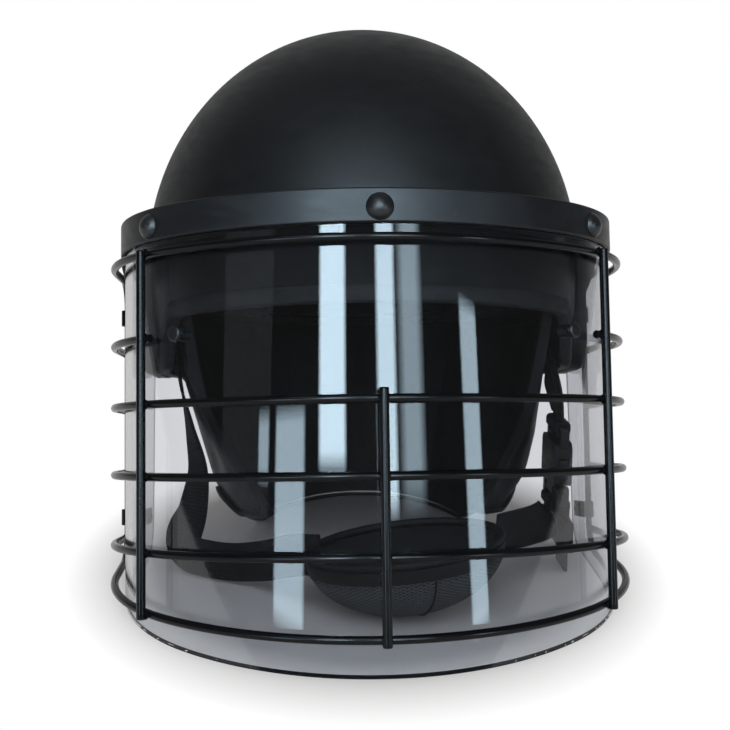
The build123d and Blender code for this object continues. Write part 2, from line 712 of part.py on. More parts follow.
def make_side_wire():
    """Short brow wire on the right side, from the front rod to the rear rod."""
    _, corner_radius, corner_x, _, _ = plan_numbers()
    start_angle = FRONT_ROD_ANGLE - 90 - degrees(ROD_RADIUS / corner_radius)
    arc = CenterArc((corner_x, GRILLE_SIDE_START_Y), corner_radius, start_angle, -start_angle)
    rear = REAR_ROD_Y - WIRE_RADIUS + WELD_DEPTH
    line = Line((GRILLE_HALF_WIDTH, GRILLE_SIDE_START_Y), (GRILLE_HALF_WIDTH, rear))
    path = Pos(0, 0, BROW_WIRE_Z) * Wire([arc.edge(), line.edge()])
    return sweep((path ^ 0) * Circle(WIRE_RADIUS), path=path)


def make_rod(place, foot_z, top_z):
    """A straight rod with rounded ends, welded outside the wires."""
    rod = Pos(place.X, place.Y, (foot_z + top_z) / 2) * Cylinder(ROD_RADIUS, top_z - foot_z)
    return fillet(rod.edges().filter_by(GeomType.CIRCLE), ROD_END_FILLET)


def make_front_rod():
    """Upright rod at the right front corner."""
    place = corner_plane(FRONT_ROD_ANGLE, -ROD_OFFSET, 0).origin
    rise = (place.Y + GRILLE_FRONT_DEPTH) * tan(radians(BOTTOM_WIRE_SLOPE))
    return make_rod(place, BOTTOM_WIRE_Z + rise - ROD_END_DROP, FRONT_ROD_TOP_Z)


def make_centre_rod():
    """Upright rod at the front centre, from the bottom wire to just above the upper wire."""
    place = front_plane(-ROD_OFFSET, 0).origin
    return make_rod(place, BOTTOM_WIRE_Z - ROD_END_DROP, CENTRE_ROD_TOP_Z)


def clip_screw_y():
    """How far back the clip screws are."""
    return REAR_ROD_Y + CLIP_TAB_LENGTH - CLIP_SCREW_SETBACK


def make_clip(z):
    """Clip on the right rear rod: a sleeve round the rod and a tab screwed to the visor."""
    visor_x = GRILLE_HALF_WIDTH - VISOR_STANDOFF
    sleeve_inner = WIRE_RADIUS + CLIP_GAP
    sleeve = Pos(GRILLE_HALF_WIDTH, REAR_ROD_Y) * Circle(sleeve_inner + CLIP_WALL)
    tab_middle = Pos(visor_x + CLIP_WALL / 2, REAR_ROD_Y + CLIP_TAB_LENGTH / 2)
    tab = tab_middle * Rectangle(CLIP_WALL, CLIP_TAB_LENGTH)
    bridge_length = GRILLE_HALF_WIDTH - visor_x
    bridge = Pos(visor_x + bridge_length / 2, REAR_ROD_Y) * Rectangle(bridge_length, 2 * sleeve_inner)
    plan = sleeve + tab + bridge - Pos(GRILLE_HALF_WIDTH, REAR_ROD_Y) * Circle(sleeve_inner)
    clip = Pos(0, 0, z - CLIP_HEIGHT / 2) * extrude(plan, amount=CLIP_HEIGHT)
    return clip - cross_pin(CLIP_SCREW_RADIUS + HOLE_CLEARANCE, 0, HALF_SPAN, clip_screw_y(), z)


def make_clip_screw(z):
    """Screw through the right clip's tab, flush with the visor's inner face."""
    inner_x = GRILLE_HALF_WIDTH - VISOR_INSET
    seat_x = GRILLE_HALF_WIDTH - VISOR_STANDOFF + CLIP_WALL
    shank = cross_pin(CLIP_SCREW_RADIUS, inner_x, seat_x, clip_screw_y(), z)
    head = cross_pin(CLIP_HEAD_RADIUS, seat_x, seat_x + CLIP_HEAD_HEIGHT, clip_screw_y(), z)
    head = fillet(head.faces().sort_by(Axis.X)[-1].edges(), CLIP_HEAD_HEIGHT / 2)
    return shank + head


def stud_planes():
    """Places of the two studs on the visor's outer face, just inside the front rods."""
    right = corner_plane(STUD_ANGLE, VISOR_STANDOFF, STUD_Z)
    left = Plane(
        origin=(-right.origin.X, right.origin.Y, right.origin.Z),
        x_dir=(right.x_dir.X, -right.x_dir.Y, 0),
        z_dir=(-right.z_dir.X, right.z_dir.Y, 0),
    )
    return [right, left]


def make_visor_studs():
    """Small studs through the visor near the brow wire."""
    head = Pos(0, 0, STUD_HEAD_HEIGHT / 2) * Cylinder(STUD_HEAD_RADIUS, STUD_HEAD_HEIGHT)
    head = fillet(head.faces().sort_by(Axis.Z)[-1].edges(), STUD_HEAD_HEIGHT / 2)
    depth = VISOR_WALL + SEAT_GAP + STUD_NUT_HEIGHT
    shank = Pos(0, 0, -depth / 2) * Cylinder(STUD_RADIUS, depth)
    return group([place * (head + shank) for place in stud_planes()])


def make_stud_nuts():
    """Sleeve nuts of the studs, inside the visor."""
    nut_z = -VISOR_WALL - SEAT_GAP - STUD_NUT_HEIGHT / 2
    nut = Pos(0, 0, nut_z) * Cylinder(STUD_NUT_RADIUS, STUD_NUT_HEIGHT)
    nut = nut - Cylinder(STUD_RADIUS + THREAD_CLEARANCE, 8 * VISOR_WALL)
    return group([place * nut for place in stud_planes()])


# Liner and comfort pads


def make_foam_liner():
    """Impact foam inside the shell, with pockets for the hinge inserts."""
    foam = dome_form(LINER_INSET) - dome_form(LINER_INSET + LINER_WALL)
    top = SHELL_CROWN_RISE + SHELL_CENTRE_Z - LINER_FOOT_Z
    keep = Pos(0, SHELL_CENTRE_Y, LINER_FOOT_Z + top / 2) * Box(2 * HALF_SPAN, 2 * HALF_SPAN, top)
    pockets = cross_pin(PIVOT_INSERT_RADIUS + LINER_GAP, -HALF_SPAN, HALF_SPAN, PIVOT_Y, PIVOT_Z)
    return (foam & keep) - pockets


def comfort_layer():
    """The layer inside the liner that the comfort pads are cut from."""
    return dome_form(COMFORT_INSET) - dome_form(COMFORT_INSET + COMFORT_WALL)


def make_crown_pad():
    """Round comfort pad under the crown."""
    height = 2 * SHELL_CROWN_RISE
    core = Pos(0, SHELL_CENTRE_Y, SHELL_CENTRE_Z + height / 2) * Cylinder(CROWN_PAD_RADIUS, height)
    return comfort_layer() & core


def make_end_pad(sign):
    """Comfort pad at the brow (sign -1) or at the back of the head (sign 1)."""
    outline = RectangleRounded(
        2 * BROW_PAD_HALF_WIDTH, BROW_PAD_HIGH_Z - BROW_PAD_LOW_Z, COMFORT_CORNER_RADIUS
    )
    middle = (0, SHELL_CENTRE_Y, (BROW_PAD_LOW_Z + BROW_PAD_HIGH_Z) / 2)
    facing = Plane(origin=middle, x_dir=(1, 0, 0), z_dir=(0, sign, 0))
    core = extrude(facing * outline, amount=SHELL_HALF_LENGTH)
    return comfort_layer() & core


def make_side_pad():
    """Comfort pad over the right temple."""
    outline = RectangleRounded(
        SIDE_PAD_REAR_Y - SIDE_PAD_FRONT_Y, SIDE_PAD_HIGH_Z - SIDE_PAD_LOW_Z, COMFORT_CORNER_RADIUS
    )
    middle = side_plane((SIDE_PAD_FRONT_Y + SIDE_PAD_REAR_Y) / 2, (SIDE_PAD_LOW_Z + SIDE_PAD_HIGH_Z) / 2)
    core = extrude(middle * outline, amount=SHELL_HALF_WIDTH)
    return comfort_layer() & core


# Neck guard


def guard_form(inset=0):
    """The guard's outer form drawn in by inset: an oval funnel that narrows downwards."""
    top = Pos(0, SHELL_CENTRE_Y, GUARD_TOP_Z)
    top = top * Ellipse(GUARD_TOP_HALF_WIDTH - inset, GUARD_TOP_HALF_LENGTH - inset)
    foot = Pos(0, SHELL_CENTRE_Y, GUARD_FOOT_Z)
    foot = foot * Ellipse(GUARD_FOOT_HALF_WIDTH - inset, GUARD_FOOT_HALF_LENGTH - inset)
    return loft([top, foot])


def guard_outline(inset=0):
    """Side outline of the guard: cheek flaps with forward tips, an arch, and the nape's level foot."""
    rear = SHELL_CENTRE_Y + GUARD_TOP_HALF_LENGTH + OVERRUN
    points = [
        (FLAP_TOP_FRONT_Y + inset, GUARD_TOP_Z + OVERRUN),
        (FLAP_WAIST_Y + inset, FLAP_WAIST_Z),
        (FLAP_TIP_Y + inset, FLAP_TIP_Z + inset),
        (FLAP_TIP_HEEL_Y - inset, FLAP_TIP_Z + inset),
        (FLAP_ARCH_Y, FLAP_ARCH_Z + inset),
        (NAPE_FOOT_START_Y, table_height(NAPE_FOOT_START_Y) + inset),
        (rear, table_height(rear) + inset),
        (rear, GUARD_TOP_Z + OVERRUN),
    ]
    bend = FLAP_BEND_RADIUS
    tip = FLAP_TIP_RADIUS
    return side_solid(points, [0, 2 * bend, tip / 2, tip, bend, bend, 0, 0])


def seam_half(ahead):
    """The space ahead of the flap seam, or behind it."""
    reach = 2 * SHELL_HALF_LENGTH
    middle_y = FLAP_SEAM_Y - reach / 2 - SEAM_GAP / 2 if ahead else FLAP_SEAM_Y + reach / 2 + SEAM_GAP / 2
    return Pos(0, middle_y, 0) * Box(reach, reach, 2 * reach)


def guard_walls():
    """The padded guard, inside its edge binding."""
    return (guard_form() - guard_form(GUARD_WALL)) & guard_outline(PIPING_WIDTH)


def make_neck_guard():
    """Rear of the guard, round the nape."""
    return guard_walls() & seam_half(False)


def make_cheek_flap():
    """Right cheek flap."""
    half = Pos(HALF_SPAN / 2, 0, 0) * Box(HALF_SPAN, 4 * HALF_SPAN, 4 * HALF_SPAN)
    return guard_walls() & seam_half(True) & half


def make_guard_piping():
    """Edge binding sewn round the guard, a little prouder than its faces."""
    thick = guard_form(-PIPING_OUTSET) - guard_form(GUARD_WALL + PIPING_OUTSET)
    return (thick & guard_outline()) - guard_outline(PIPING_WIDTH)


def make_snap_studs():
    """Snap studs that hold the guard inside the shell's rim."""
    studs = []
    for angle in SNAP_ANGLES:
        across = cos(radians(angle))
        along = sin(radians(angle))
        place = Plane(origin=(0, SHELL_CENTRE_Y, SNAP_Z), z_dir=(across, along, 0))
        stud = place * extrude(Circle(SNAP_RADIUS), amount=SHELL_HALF_LENGTH)
        studs.append((stud & dome_form(SHELL_WALL + SNAP_GAP)) - guard_form(-SNAP_GAP))
    return group(studs)


# Chin strap


def make_anchor():
    """Curved plate riveted inside the shell at the right ear, where the strap begins."""
    outline = RectangleRounded(ANCHOR_WIDTH, ANCHOR_HEIGHT, ANCHOR_CORNER_RADIUS)
    block = extrude(side_plane(ANCHOR_Y, ANCHOR_Z) * outline, amount=SHELL_HALF_WIDTH)
    plate = block & (dome_form(SHELL_WALL) - dome_form(SHELL_WALL + ANCHOR_WALL))
    return plate - cross_pin(ANCHOR_RIVET_RADIUS + THREAD_CLEARANCE, 0, HALF_SPAN, ANCHOR_Y, ANCHOR_Z)


def anchor_face_x(z=ANCHOR_Z):
    """Where the anchor plate's inner face is, at a height near the rivet."""
    inset = SHELL_WALL + ANCHOR_WALL
    drop_share = (z - SHELL_CENTRE_Z) / (SHELL_SKIRT_DROP - inset)
    ahead_share = (ANCHOR_Y - SHELL_CENTRE_Y) / (SHELL_HALF_LENGTH - inset)
    return (SHELL_HALF_WIDTH - inset) * sqrt(1 - drop_share**2 - ahead_share**2)


def make_anchor_rivet():
    """Rivet through strap, plate and shell on the right, its head clear of the leaning strap."""
    head_x = anchor_face_x() - WEB_THICKNESS - 4 * WEB_GAP - ANCHOR_RIVET_STANDOFF
    shank = cross_pin(ANCHOR_RIVET_RADIUS, head_x, SHELL_HALF_WIDTH, ANCHOR_Y, ANCHOR_Z) & dome_form()
    head = cross_pin(
        ANCHOR_RIVET_HEAD_RADIUS, head_x - ANCHOR_RIVET_HEAD_HEIGHT, head_x, ANCHOR_Y, ANCHOR_Z
    )
    return shank + head


def strap_seat(sign):
    """Standing positions of the strap's end above its rivet, and of a point below it."""
    seat = []
    for z in (ANCHOR_Z + STRAP_END_RISE, ANCHOR_Z - STRAP_END_RISE):
        x = anchor_face_x(z) - 3 * WEB_GAP - WEB_THICKNESS / 2
        seat.append(stand(Pos(sign * x, ANCHOR_Y, z) * Vertex(0, 0, 0)).center())
    return seat


def strap_points(shares):
    """Standing points from shares of the shell's half width and half length."""
    return [
        Vector(across * SHELL_HALF_WIDTH, along * SHELL_HALF_LENGTH, up * SHELL_HALF_LENGTH)
        for across, along, up in shares
    ]


def ribbon(points, normals):
    """Webbing through the points, with its flat face turned to the normals."""
    sections = []
    last = len(points) - 1
    for index, point in enumerate(points):
        before = points[max(index - 1, 0)]
        after = points[min(index + 1, last)]
        tangent = (after - before).normalized()
        across = tangent.cross(Vector(*normals[index])).normalized()
        place = Plane(origin=point, x_dir=across, z_dir=tangent)
        sections.append(place * Rectangle(WEB_WIDTH, WEB_THICKNESS))
    return loft(sections, ruled=True)


def rivet_hole(sign):
    """Hole for the strap rivet, in the standing position."""
    clearance = ANCHOR_RIVET_RADIUS + WEB_GAP
    return stand(cross_pin(clearance, 0, sign * HALF_SPAN, ANCHOR_Y, ANCHOR_Z))


def make_left_strap():
    """Left webbing: down outside the cheek flap, folded at the table and on edge to the chin cup."""
    hanging = ribbon(strap_seat(-1) + strap_points(LEFT_HANG_SHARES), LEFT_HANG_NORMALS_SHARE)
    trail = ribbon(strap_points(LEFT_TRAIL_SHARES), LEFT_TRAIL_NORMALS_SHARE)
    return hanging + trail - rivet_hole(-1) - cup_form(-CUP_SEAM_GAP) - cup_cord(CUP_SEAM_GAP)


def buckle_place():
    """The buckle stands upright, its width along y and its thickness along x."""
    return Plane(origin=(BUCKLE_X, BUCKLE_Y, BUCKLE_MOUTH_Z), x_dir=(0, 1, 0), z_dir=(1, 0, 0))


def bar_loop(bar_z, bar_thickness):
    """Webbing sewn in a loop round a buckle bar that lies along y."""
    inner_x = bar_thickness + 2 * WEB_GAP
    inner_z = BUCKLE_BAR_WIDTH + 2 * WEB_GAP
    outer_x = inner_x + 2 * WEB_THICKNESS
    outer_z = inner_z + 2 * WEB_THICKNESS
    ring = RectangleRounded(outer_x, outer_z, WEB_THICKNESS) - Rectangle(inner_x, inner_z)
    place = Plane(origin=(BUCKLE_X, BUCKLE_Y, bar_z), x_dir=(1, 0, 0), z_dir=(0, 1, 0))
    return extrude(place * ring, amount=WEB_WIDTH / 2, both=True)


def make_right_strap():
    """Right webbing from its rivet to the buckle's upper bar."""
    bar_z = BUCKLE_MOUTH_Z + BUCKLE_BODY_LENGTH + BUCKLE_BAR_LENGTH - BUCKLE_BAR_WIDTH / 2
    rise = (BUCKLE_BAR_WIDTH + WEB_THICKNESS) / 2 + WEB_GAP
    end = Vector(BUCKLE_X, BUCKLE_Y, bar_z + rise)
    points = strap_seat(1) + strap_points(RIGHT_HANG_SHARES) + [end]
    normals = [(1, -0.1, 0)] * (len(points) - 1) + [(1, 0, 0)]
    return ribbon(points, normals) + bar_loop(bar_z, BUCKLE_BAR_THICKNESS) - rivet_hole(1)


def make_lower_strap():
    """Right webbing from the chin cup up over the plug's bar, with its free end hanging outside."""
    bar_z = BUCKLE_MOUTH_Z - PLUG_GAP - PLUG_BASE_LENGTH + BUCKLE_BAR_WIDTH / 2
    leg_x = PLUG_BASE_THICKNESS / 2 + WEB_GAP + WEB_THICKNESS / 2
    loop = bar_loop(bar_z, PLUG_BASE_THICKNESS)
    foot_z = 2 * TABLE_GAP
    tail_middle = Pos(BUCKLE_X + leg_x, BUCKLE_Y, (foot_z + bar_z) / 2)
    tail = tail_middle * Box(WEB_THICKNESS, WEB_WIDTH, bar_z - foot_z)
    start = Vector(BUCKLE_X - leg_x, BUCKLE_Y, bar_z)
    run = ribbon([start] + strap_points(RIGHT_LOWER_SHARES), RIGHT_LOWER_NORMALS_SHARE)
    return loop + tail + run - cup_form(-CUP_SEAM_GAP) - cup_cord(CUP_SEAM_GAP)


def buckle_slot(middle_y, thickness):
    """Slot for the webbing across the buckle."""
    opening = 2 * (WEB_THICKNESS + WEB_GAP)
    return Pos(0, middle_y, 0) * Box(WEB_WIDTH + 2 * WEB_GAP, opening, thickness)


def make_buckle_socket():
    """Upper half of the buckle: a flat pocket with side windows and a webbing bar."""
    outline = Pos(0, BUCKLE_BODY_LENGTH / 2) * RectangleRounded(
        BUCKLE_WIDTH, BUCKLE_BODY_LENGTH, BUCKLE_CORNER_RADIUS
    )
    body = extrude(outline, amount=BUCKLE_THICKNESS / 2, both=True)
    bar_depth = BUCKLE_BAR_LENGTH + BUCKLE_CORNER_RADIUS
    bar = Pos(0, BUCKLE_BODY_LENGTH + BUCKLE_BAR_LENGTH - bar_depth / 2) * RectangleRounded(
        BUCKLE_WIDTH, bar_depth, BUCKLE_BAR_WIDTH
    )
    body = body + extrude(bar, amount=BUCKLE_BAR_THICKNESS / 2, both=True)
    pocket_depth = BUCKLE_BODY_LENGTH - BUCKLE_WALL
    pocket_width = BUCKLE_WIDTH - 2 * BUCKLE_WALL
    pocket_height = BUCKLE_THICKNESS - 2 * BUCKLE_WALL
    body = body - Pos(0, pocket_depth / 2 - OVERRUN / 2, 0) * Box(
        pocket_width, pocket_depth + OVERRUN, pocket_height
    )
    window_length = BUCKLE_WINDOW_HIGH - BUCKLE_WINDOW_LOW
    window = Pos(0, (BUCKLE_WINDOW_LOW + BUCKLE_WINDOW_HIGH) / 2, 0)
    body = body - window * Box(2 * BUCKLE_WIDTH, window_length, pocket_height)
    slot_y = BUCKLE_BODY_LENGTH + BUCKLE_BAR_LENGTH - BUCKLE_BAR_WIDTH - WEB_THICKNESS - WEB_GAP
    return buckle_place() * (body - buckle_slot(slot_y, 2 * BUCKLE_THICKNESS))


def prong_socket(radius):
    """Round seat of a prong's root in the plug, for the rear prong."""
    return Pos(PRONG_ROOT_X, -PLUG_GAP - PRONG_ROOT_DROP, 0) * Cylinder(radius, BUCKLE_THICKNESS)


def make_buckle_plug():
    """Lower half of the buckle: a base with a webbing bar, a middle guide and seats for the prongs."""
    base = Pos(0, -PLUG_GAP - PLUG_BASE_LENGTH / 2) * RectangleRounded(
        BUCKLE_WIDTH, PLUG_BASE_LENGTH, BUCKLE_BAR_WIDTH
    )
    body = extrude(base, amount=PLUG_BASE_THICKNESS / 2, both=True)
    guide_height = BUCKLE_THICKNESS - 2 * BUCKLE_WALL - 2 * PRONG_SIDE_GAP
    guide_length = PRONG_LENGTH - PLUG_GAP
    body = body + Pos(0, guide_length / 2 - PLUG_GAP, 0) * Box(GUIDE_WIDTH, guide_length, guide_height)
    seat = prong_socket(PRONG_ROOT_RADIUS + RUNNING_CLEARANCE)
    sway = PRONG_ROOT_DROP * tan(radians(PRONG_SWING)) + RUNNING_CLEARANCE + PRONG_SIDE_GAP
    mouth_width = PRONG_NECK_WIDTH + sway + PRONG_SIDE_GAP
    mouth_x = PRONG_ROOT_X + (PRONG_SIDE_GAP - sway) / 2
    mouth = Pos(mouth_x, -PLUG_GAP - PRONG_ROOT_DROP / 2 + OVERRUN / 2, 0)
    seat = seat + mouth * Box(mouth_width, PRONG_ROOT_DROP + OVERRUN, BUCKLE_THICKNESS)
    body = body - seat - mirror(seat, about=Plane.YZ)
    slot_y = -PLUG_GAP - PLUG_BASE_LENGTH + BUCKLE_BAR_WIDTH + WEB_THICKNESS + WEB_GAP
    return buckle_place() * (body - buckle_slot(slot_y, 2 * BUCKLE_THICKNESS))


def make_rear_prong():
    """Sprung prong with the release button that shows in the socket's rear window."""
    height = BUCKLE_THICKNESS - 2 * BUCKLE_WALL - 2 * PRONG_SIDE_GAP
    outer_x = BUCKLE_WIDTH / 2 - BUCKLE_WALL - PRONG_SIDE_GAP
    inner_x = PRONG_ROOT_X - PRONG_NECK_WIDTH / 2
    neck_x = PRONG_ROOT_X + PRONG_NECK_WIDTH / 2
    low = BUCKLE_WINDOW_LOW + PRONG_SIDE_GAP
    high = BUCKLE_WINDOW_HIGH - PRONG_LATCH_GAP
    bulge_x = outer_x + PRONG_BULGE
    points = [
        (inner_x, -PLUG_GAP - PRONG_ROOT_DROP),
        (neck_x, -PLUG_GAP - PRONG_ROOT_DROP),
        (neck_x, low - PRONG_BULGE),
        (bulge_x, low + PRONG_BULGE),
        (bulge_x, high),
        (outer_x - PRONG_BULGE / 2, high),
        (inner_x, PRONG_LENGTH),
    ]
    blade = extrude(make_face(Polyline(*points, close=True)), amount=height / 2, both=True)
    root = Pos(PRONG_ROOT_X, -PLUG_GAP - PRONG_ROOT_DROP, 0) * Cylinder(PRONG_ROOT_RADIUS, height)
    return blade + root


def make_keeper():
    """Loop that slides on the strap's free end."""
    inner_x = WEB_THICKNESS + 2 * KEEPER_GAP
    inner_y = WEB_WIDTH + 2 * KEEPER_GAP
    ring = Rectangle(inner_x + 2 * KEEPER_WALL, inner_y + 2 * KEEPER_WALL) - Rectangle(inner_x, inner_y)
    tail_x = BUCKLE_X + PLUG_BASE_THICKNESS / 2 + WEB_GAP + WEB_THICKNESS / 2
    return Pos(tail_x, BUCKLE_Y, KEEPER_Z - KEEPER_HEIGHT / 2) * extrude(ring, amount=KEEPER_HEIGHT)


# Chin cup


def cup_place():
    """The cup's centre, on its rim plane, tilted to one side as it lies."""
    return Pos(CUP_X, CUP_Y, CUP_DEPTH + CUP_RISE) * Rot(Y=-CUP_TILT)


def cup_ball(inset):
    """The cup's outer form drawn in by inset, level and round its own centre."""
    share_y = (CUP_HALF_WIDTH - inset) / (CUP_HALF_LENGTH - inset)
    share_z = (CUP_DEPTH - inset) / (CUP_HALF_LENGTH - inset)
    return scale(Sphere(CUP_HALF_LENGTH - inset), by=(1, share_y, share_z))


def cup_form(inset=0):
    """The cup's outer form, drawn in by inset and set in its place."""
    return cup_place() * cup_ball(inset)


def cup_wall(inset, wall):
    """The lower half of a bowl of the given wall."""
    below = Pos(0, 0, -CUP_DEPTH) * Box(4 * CUP_HALF_LENGTH, 4 * CUP_HALF_WIDTH, 2 * CUP_DEPTH)
    return cup_place() * ((cup_ball(inset) - cup_ball(inset + wall)) & below)


def make_chin_cup():
    """Outer wall of the chin cup."""
    return cup_wall(0, CUP_WALL)


def make_cup_lining():
    """Soft lining inside the cup."""
    return cup_wall(CUP_WALL + WEB_GAP, CUP_LINING_WALL)


def cup_cord(outset=0):
    """The piping's round form along the cup's rim, thickened by outset."""
    x_radius = CUP_HALF_LENGTH - CUP_WALL / 2
    y_radius = CUP_HALF_WIDTH - CUP_WALL / 2
    path = Wire([Ellipse(x_radius, y_radius).edge()])
    cord = sweep(Plane(origin=path @ 0, z_dir=path % 0) * Circle(CUP_PIPING_RADIUS + outset), path=path)
    return cup_place() * Pos(0, 0, CUP_PIPING_RADIUS) * cord


def build_pieces():
    """Every piece by name, standing on the table."""
    upright = {
        "shell": make_shell(),
        "shell_edge_trim": make_edge_trim(),
        "foam_liner": make_foam_liner(),
        "crown_pad": make_crown_pad(),
        "brow_pad": make_end_pad(-1),
        "nape_pad": make_end_pad(1),
        "brow_seal": make_brow_seal(),
        "neck_guard": make_neck_guard(),
        "guard_piping": make_guard_piping(),
        "snap_studs": make_snap_studs(),
        "strap_anchors": group(both_sides(make_anchor())),
        "strap_rivets": group(both_sides(make_anchor_rivet())),
        "carrier_band": make_carrier_band(),
        "visor": make_visor(),
        "backing_strip": make_backing_strip(),
        "band_screws": make_band_screws(),
        "band_nuts": make_band_nuts(),
        "grille_frame": make_grille_frame(),
        "cross_wire_upper": make_cross_wire(UPPER_WIRE_Z),
        "cross_wire_middle": make_cross_wire(MIDDLE_WIRE_Z),
        "cross_wire_lower": make_cross_wire(LOWER_WIRE_Z),
        "centre_rod": make_centre_rod(),
        "visor_studs": make_visor_studs(),
        "stud_nuts": make_stud_nuts(),
    }
    pairs = {
        "pivot_pad": make_pivot_pad(),
        "pivot_insert": make_pivot_insert(),
        "pivot_screw": make_pivot_screw(),
        "friction_washer": make_friction_washer(),
        "ear_bush": make_ear_bush(),
        "side_pad": make_side_pad(),
        "cheek_flap": make_cheek_flap(),
        "brow_wire": make_side_wire(),
        "front_rod": make_front_rod(),
    }
    for name, piece in pairs.items():
        right, left = both_sides(piece)
        upright[name + "_right"] = right
        upright[name + "_left"] = left
    for level, z in (("upper", CLIP_UPPER_Z), ("lower", CLIP_LOWER_Z)):
        upright["grille_clips_" + level] = group(both_sides(make_clip(z)))
        upright["clip_screws_" + level] = group(both_sides(make_clip_screw(z)))
    pieces = {name: stand(piece) for name, piece in upright.items()}
    prong = make_rear_prong()
    pieces["chin_strap_left"] = make_left_strap()
    pieces["chin_strap_right"] = make_right_strap()
    pieces["chin_strap_lower"] = make_lower_strap()
    pieces["strap_keeper"] = make_keeper()
    pieces["buckle_socket"] = make_buckle_socket()
    pieces["buckle_plug"] = make_buckle_plug()
    pieces["buckle_prong_rear"] = buckle_place() * prong
    pieces["buckle_prong_front"] = buckle_place() * mirror(prong, about=Plane.YZ)
    pieces["chin_cup"] = make_chin_cup()
    pieces["chin_cup_lining"] = make_cup_lining()
    pieces["chin_cup_piping"] = cup_cord()
    return pieces


def main():
    """Build every piece, centre the helmet over the origin and write one file for each."""
    pieces = build_pieces()
    low = min(piece.bounding_box().min.Y for piece in pieces.values())
    high = max(piece.bounding_box().max.Y for piece in pieces.values())
    os.makedirs("parts", exist_ok=True)
    for name, piece in pieces.items():
        solids = [Pos(0, -(low + high) / 2, 0) * solid for solid in piece.solids()]
        export_step(Compound(solids), f"parts/{name}.step")


main()
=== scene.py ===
"""Looks of a riot helmet with a hinged clear visor and a welded wire face grille.

Lengths are in millimetres until a piece becomes a mesh, which is in metres. Pieces of the helmet
are worked out upright, with x across, y from the face to the nape and z up, and are then leaned
back as the helmet stands. The loose chin strap, buckle and chin cup are worked out as they stand.
"""

import logging
import math
from dataclasses import dataclass
from enum import Enum

import bmesh
import bpy
import numpy as np
from mathutils import Matrix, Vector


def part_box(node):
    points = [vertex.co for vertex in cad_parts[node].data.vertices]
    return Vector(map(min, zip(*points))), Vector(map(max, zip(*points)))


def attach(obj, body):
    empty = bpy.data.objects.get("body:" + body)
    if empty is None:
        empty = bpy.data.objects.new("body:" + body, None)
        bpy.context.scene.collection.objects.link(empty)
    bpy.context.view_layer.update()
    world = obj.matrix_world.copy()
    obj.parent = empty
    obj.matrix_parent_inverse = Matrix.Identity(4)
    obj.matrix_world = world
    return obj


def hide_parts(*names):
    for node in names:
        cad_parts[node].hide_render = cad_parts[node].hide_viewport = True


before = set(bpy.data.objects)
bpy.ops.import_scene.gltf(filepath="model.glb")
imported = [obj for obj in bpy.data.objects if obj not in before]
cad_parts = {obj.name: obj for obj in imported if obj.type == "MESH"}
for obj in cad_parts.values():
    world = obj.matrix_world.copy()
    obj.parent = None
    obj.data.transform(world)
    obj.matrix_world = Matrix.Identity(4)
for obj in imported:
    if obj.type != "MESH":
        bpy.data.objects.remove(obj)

Array = np.ndarray
Thing = bpy.types.Object
Socket = bpy.types.NodeSocket
Triple = tuple[float, float, float]
Feed = Socket | float | tuple[float, ...]
MM = 0.001
HELMET = "helmet"
VISOR = "visor_assembly"
LOG = logging.getLogger("riot_helmet")


# Small tools for curves and grids


def unit(vectors: Array) -> Array:
    """Vectors divided by their lengths along the last axis."""
    return vectors / np.maximum(np.linalg.norm(vectors, axis=-1, keepdims=True), 1e-12)


def square_to(vectors: Array, along: Array) -> Array:
    """Unit vectors made square to others, by taking away what lies along those."""
    return unit(vectors - (vectors * along).sum(-1, keepdims=True) * along)


def full_turn(count: int) -> Array:
    """Angles evenly round one full turn, the start not repeated."""
    return np.linspace(0, 2 * math.pi, count, endpoint=False)


def circle(angles: Array) -> Array:
    """Points of the unit circle at angles: cosine, then sine."""
    return np.stack([np.cos(angles), np.sin(angles)], -1)


def rounded_line(points: list[tuple[float, float]], radii: list[float], step: float = 0.5) -> Array:
    """A broken line in a plane with rounded corners.

    At each corner an arc touches both runs: it starts and ends at radius / tan(half the angle
    between the runs) from the corner, and its centre lies on the line that halves that angle.

    Args:
        points: the corners in order, first and last included.
        radii: one radius for each inner corner.
        step: distance between samples.

    Returns:
        Samples of shape (n, 2), evenly spaced along the line.
    """
    corners = np.array(points, float)
    chain = [corners[:1]]
    for index, radius in enumerate(radii, start=1):
        corner = corners[index]
        back, ahead = unit(corners[index - 1] - corner), unit(corners[index + 1] - corner)
        half = 0.5 * math.acos(float(np.clip(back @ ahead, -1, 1)))
        centre = corner + unit(back + ahead) * radius / math.sin(half)
        start = corner + back * radius / math.tan(half) - centre
        end = corner + ahead * radius / math.tan(half) - centre
        sweep = math.pi - 2 * half
        turn = np.linspace(0, 1, 24)[:, None]
        arc = (np.sin((1 - turn) * sweep) * start + np.sin(turn * sweep) * end) / math.sin(sweep)
        chain.append(centre + arc)
    return evenly(np.concatenate([*chain, corners[-1:]]), step)


def evenly(curve: Array, step: float = 0.0, count: int = 0, closed: bool = False) -> Array:
    """The same curve with samples at even distances along it.

    Args:
        curve: samples of shape (n, d).
        step: wanted distance between samples, used when count is zero.
        count: wanted number of samples.
        closed: whether the curve returns to its start, which then isn't repeated.

    Returns:
        The new samples, found by straight interpolation along the length.
    """
    line = np.concatenate([curve, curve[:1]]) if closed else curve
    length = np.concatenate([[0], np.cumsum(np.linalg.norm(np.diff(line, axis=0), axis=1))])
    number = count or max(2, int(round(length[-1] / step)) + 1)
    wanted = np.linspace(0, length[-1], number + 1)[:-1] if closed else np.linspace(0, length[-1], number)
    return np.stack([np.interp(wanted, length, line[:, axis]) for axis in range(line.shape[1])], -1)


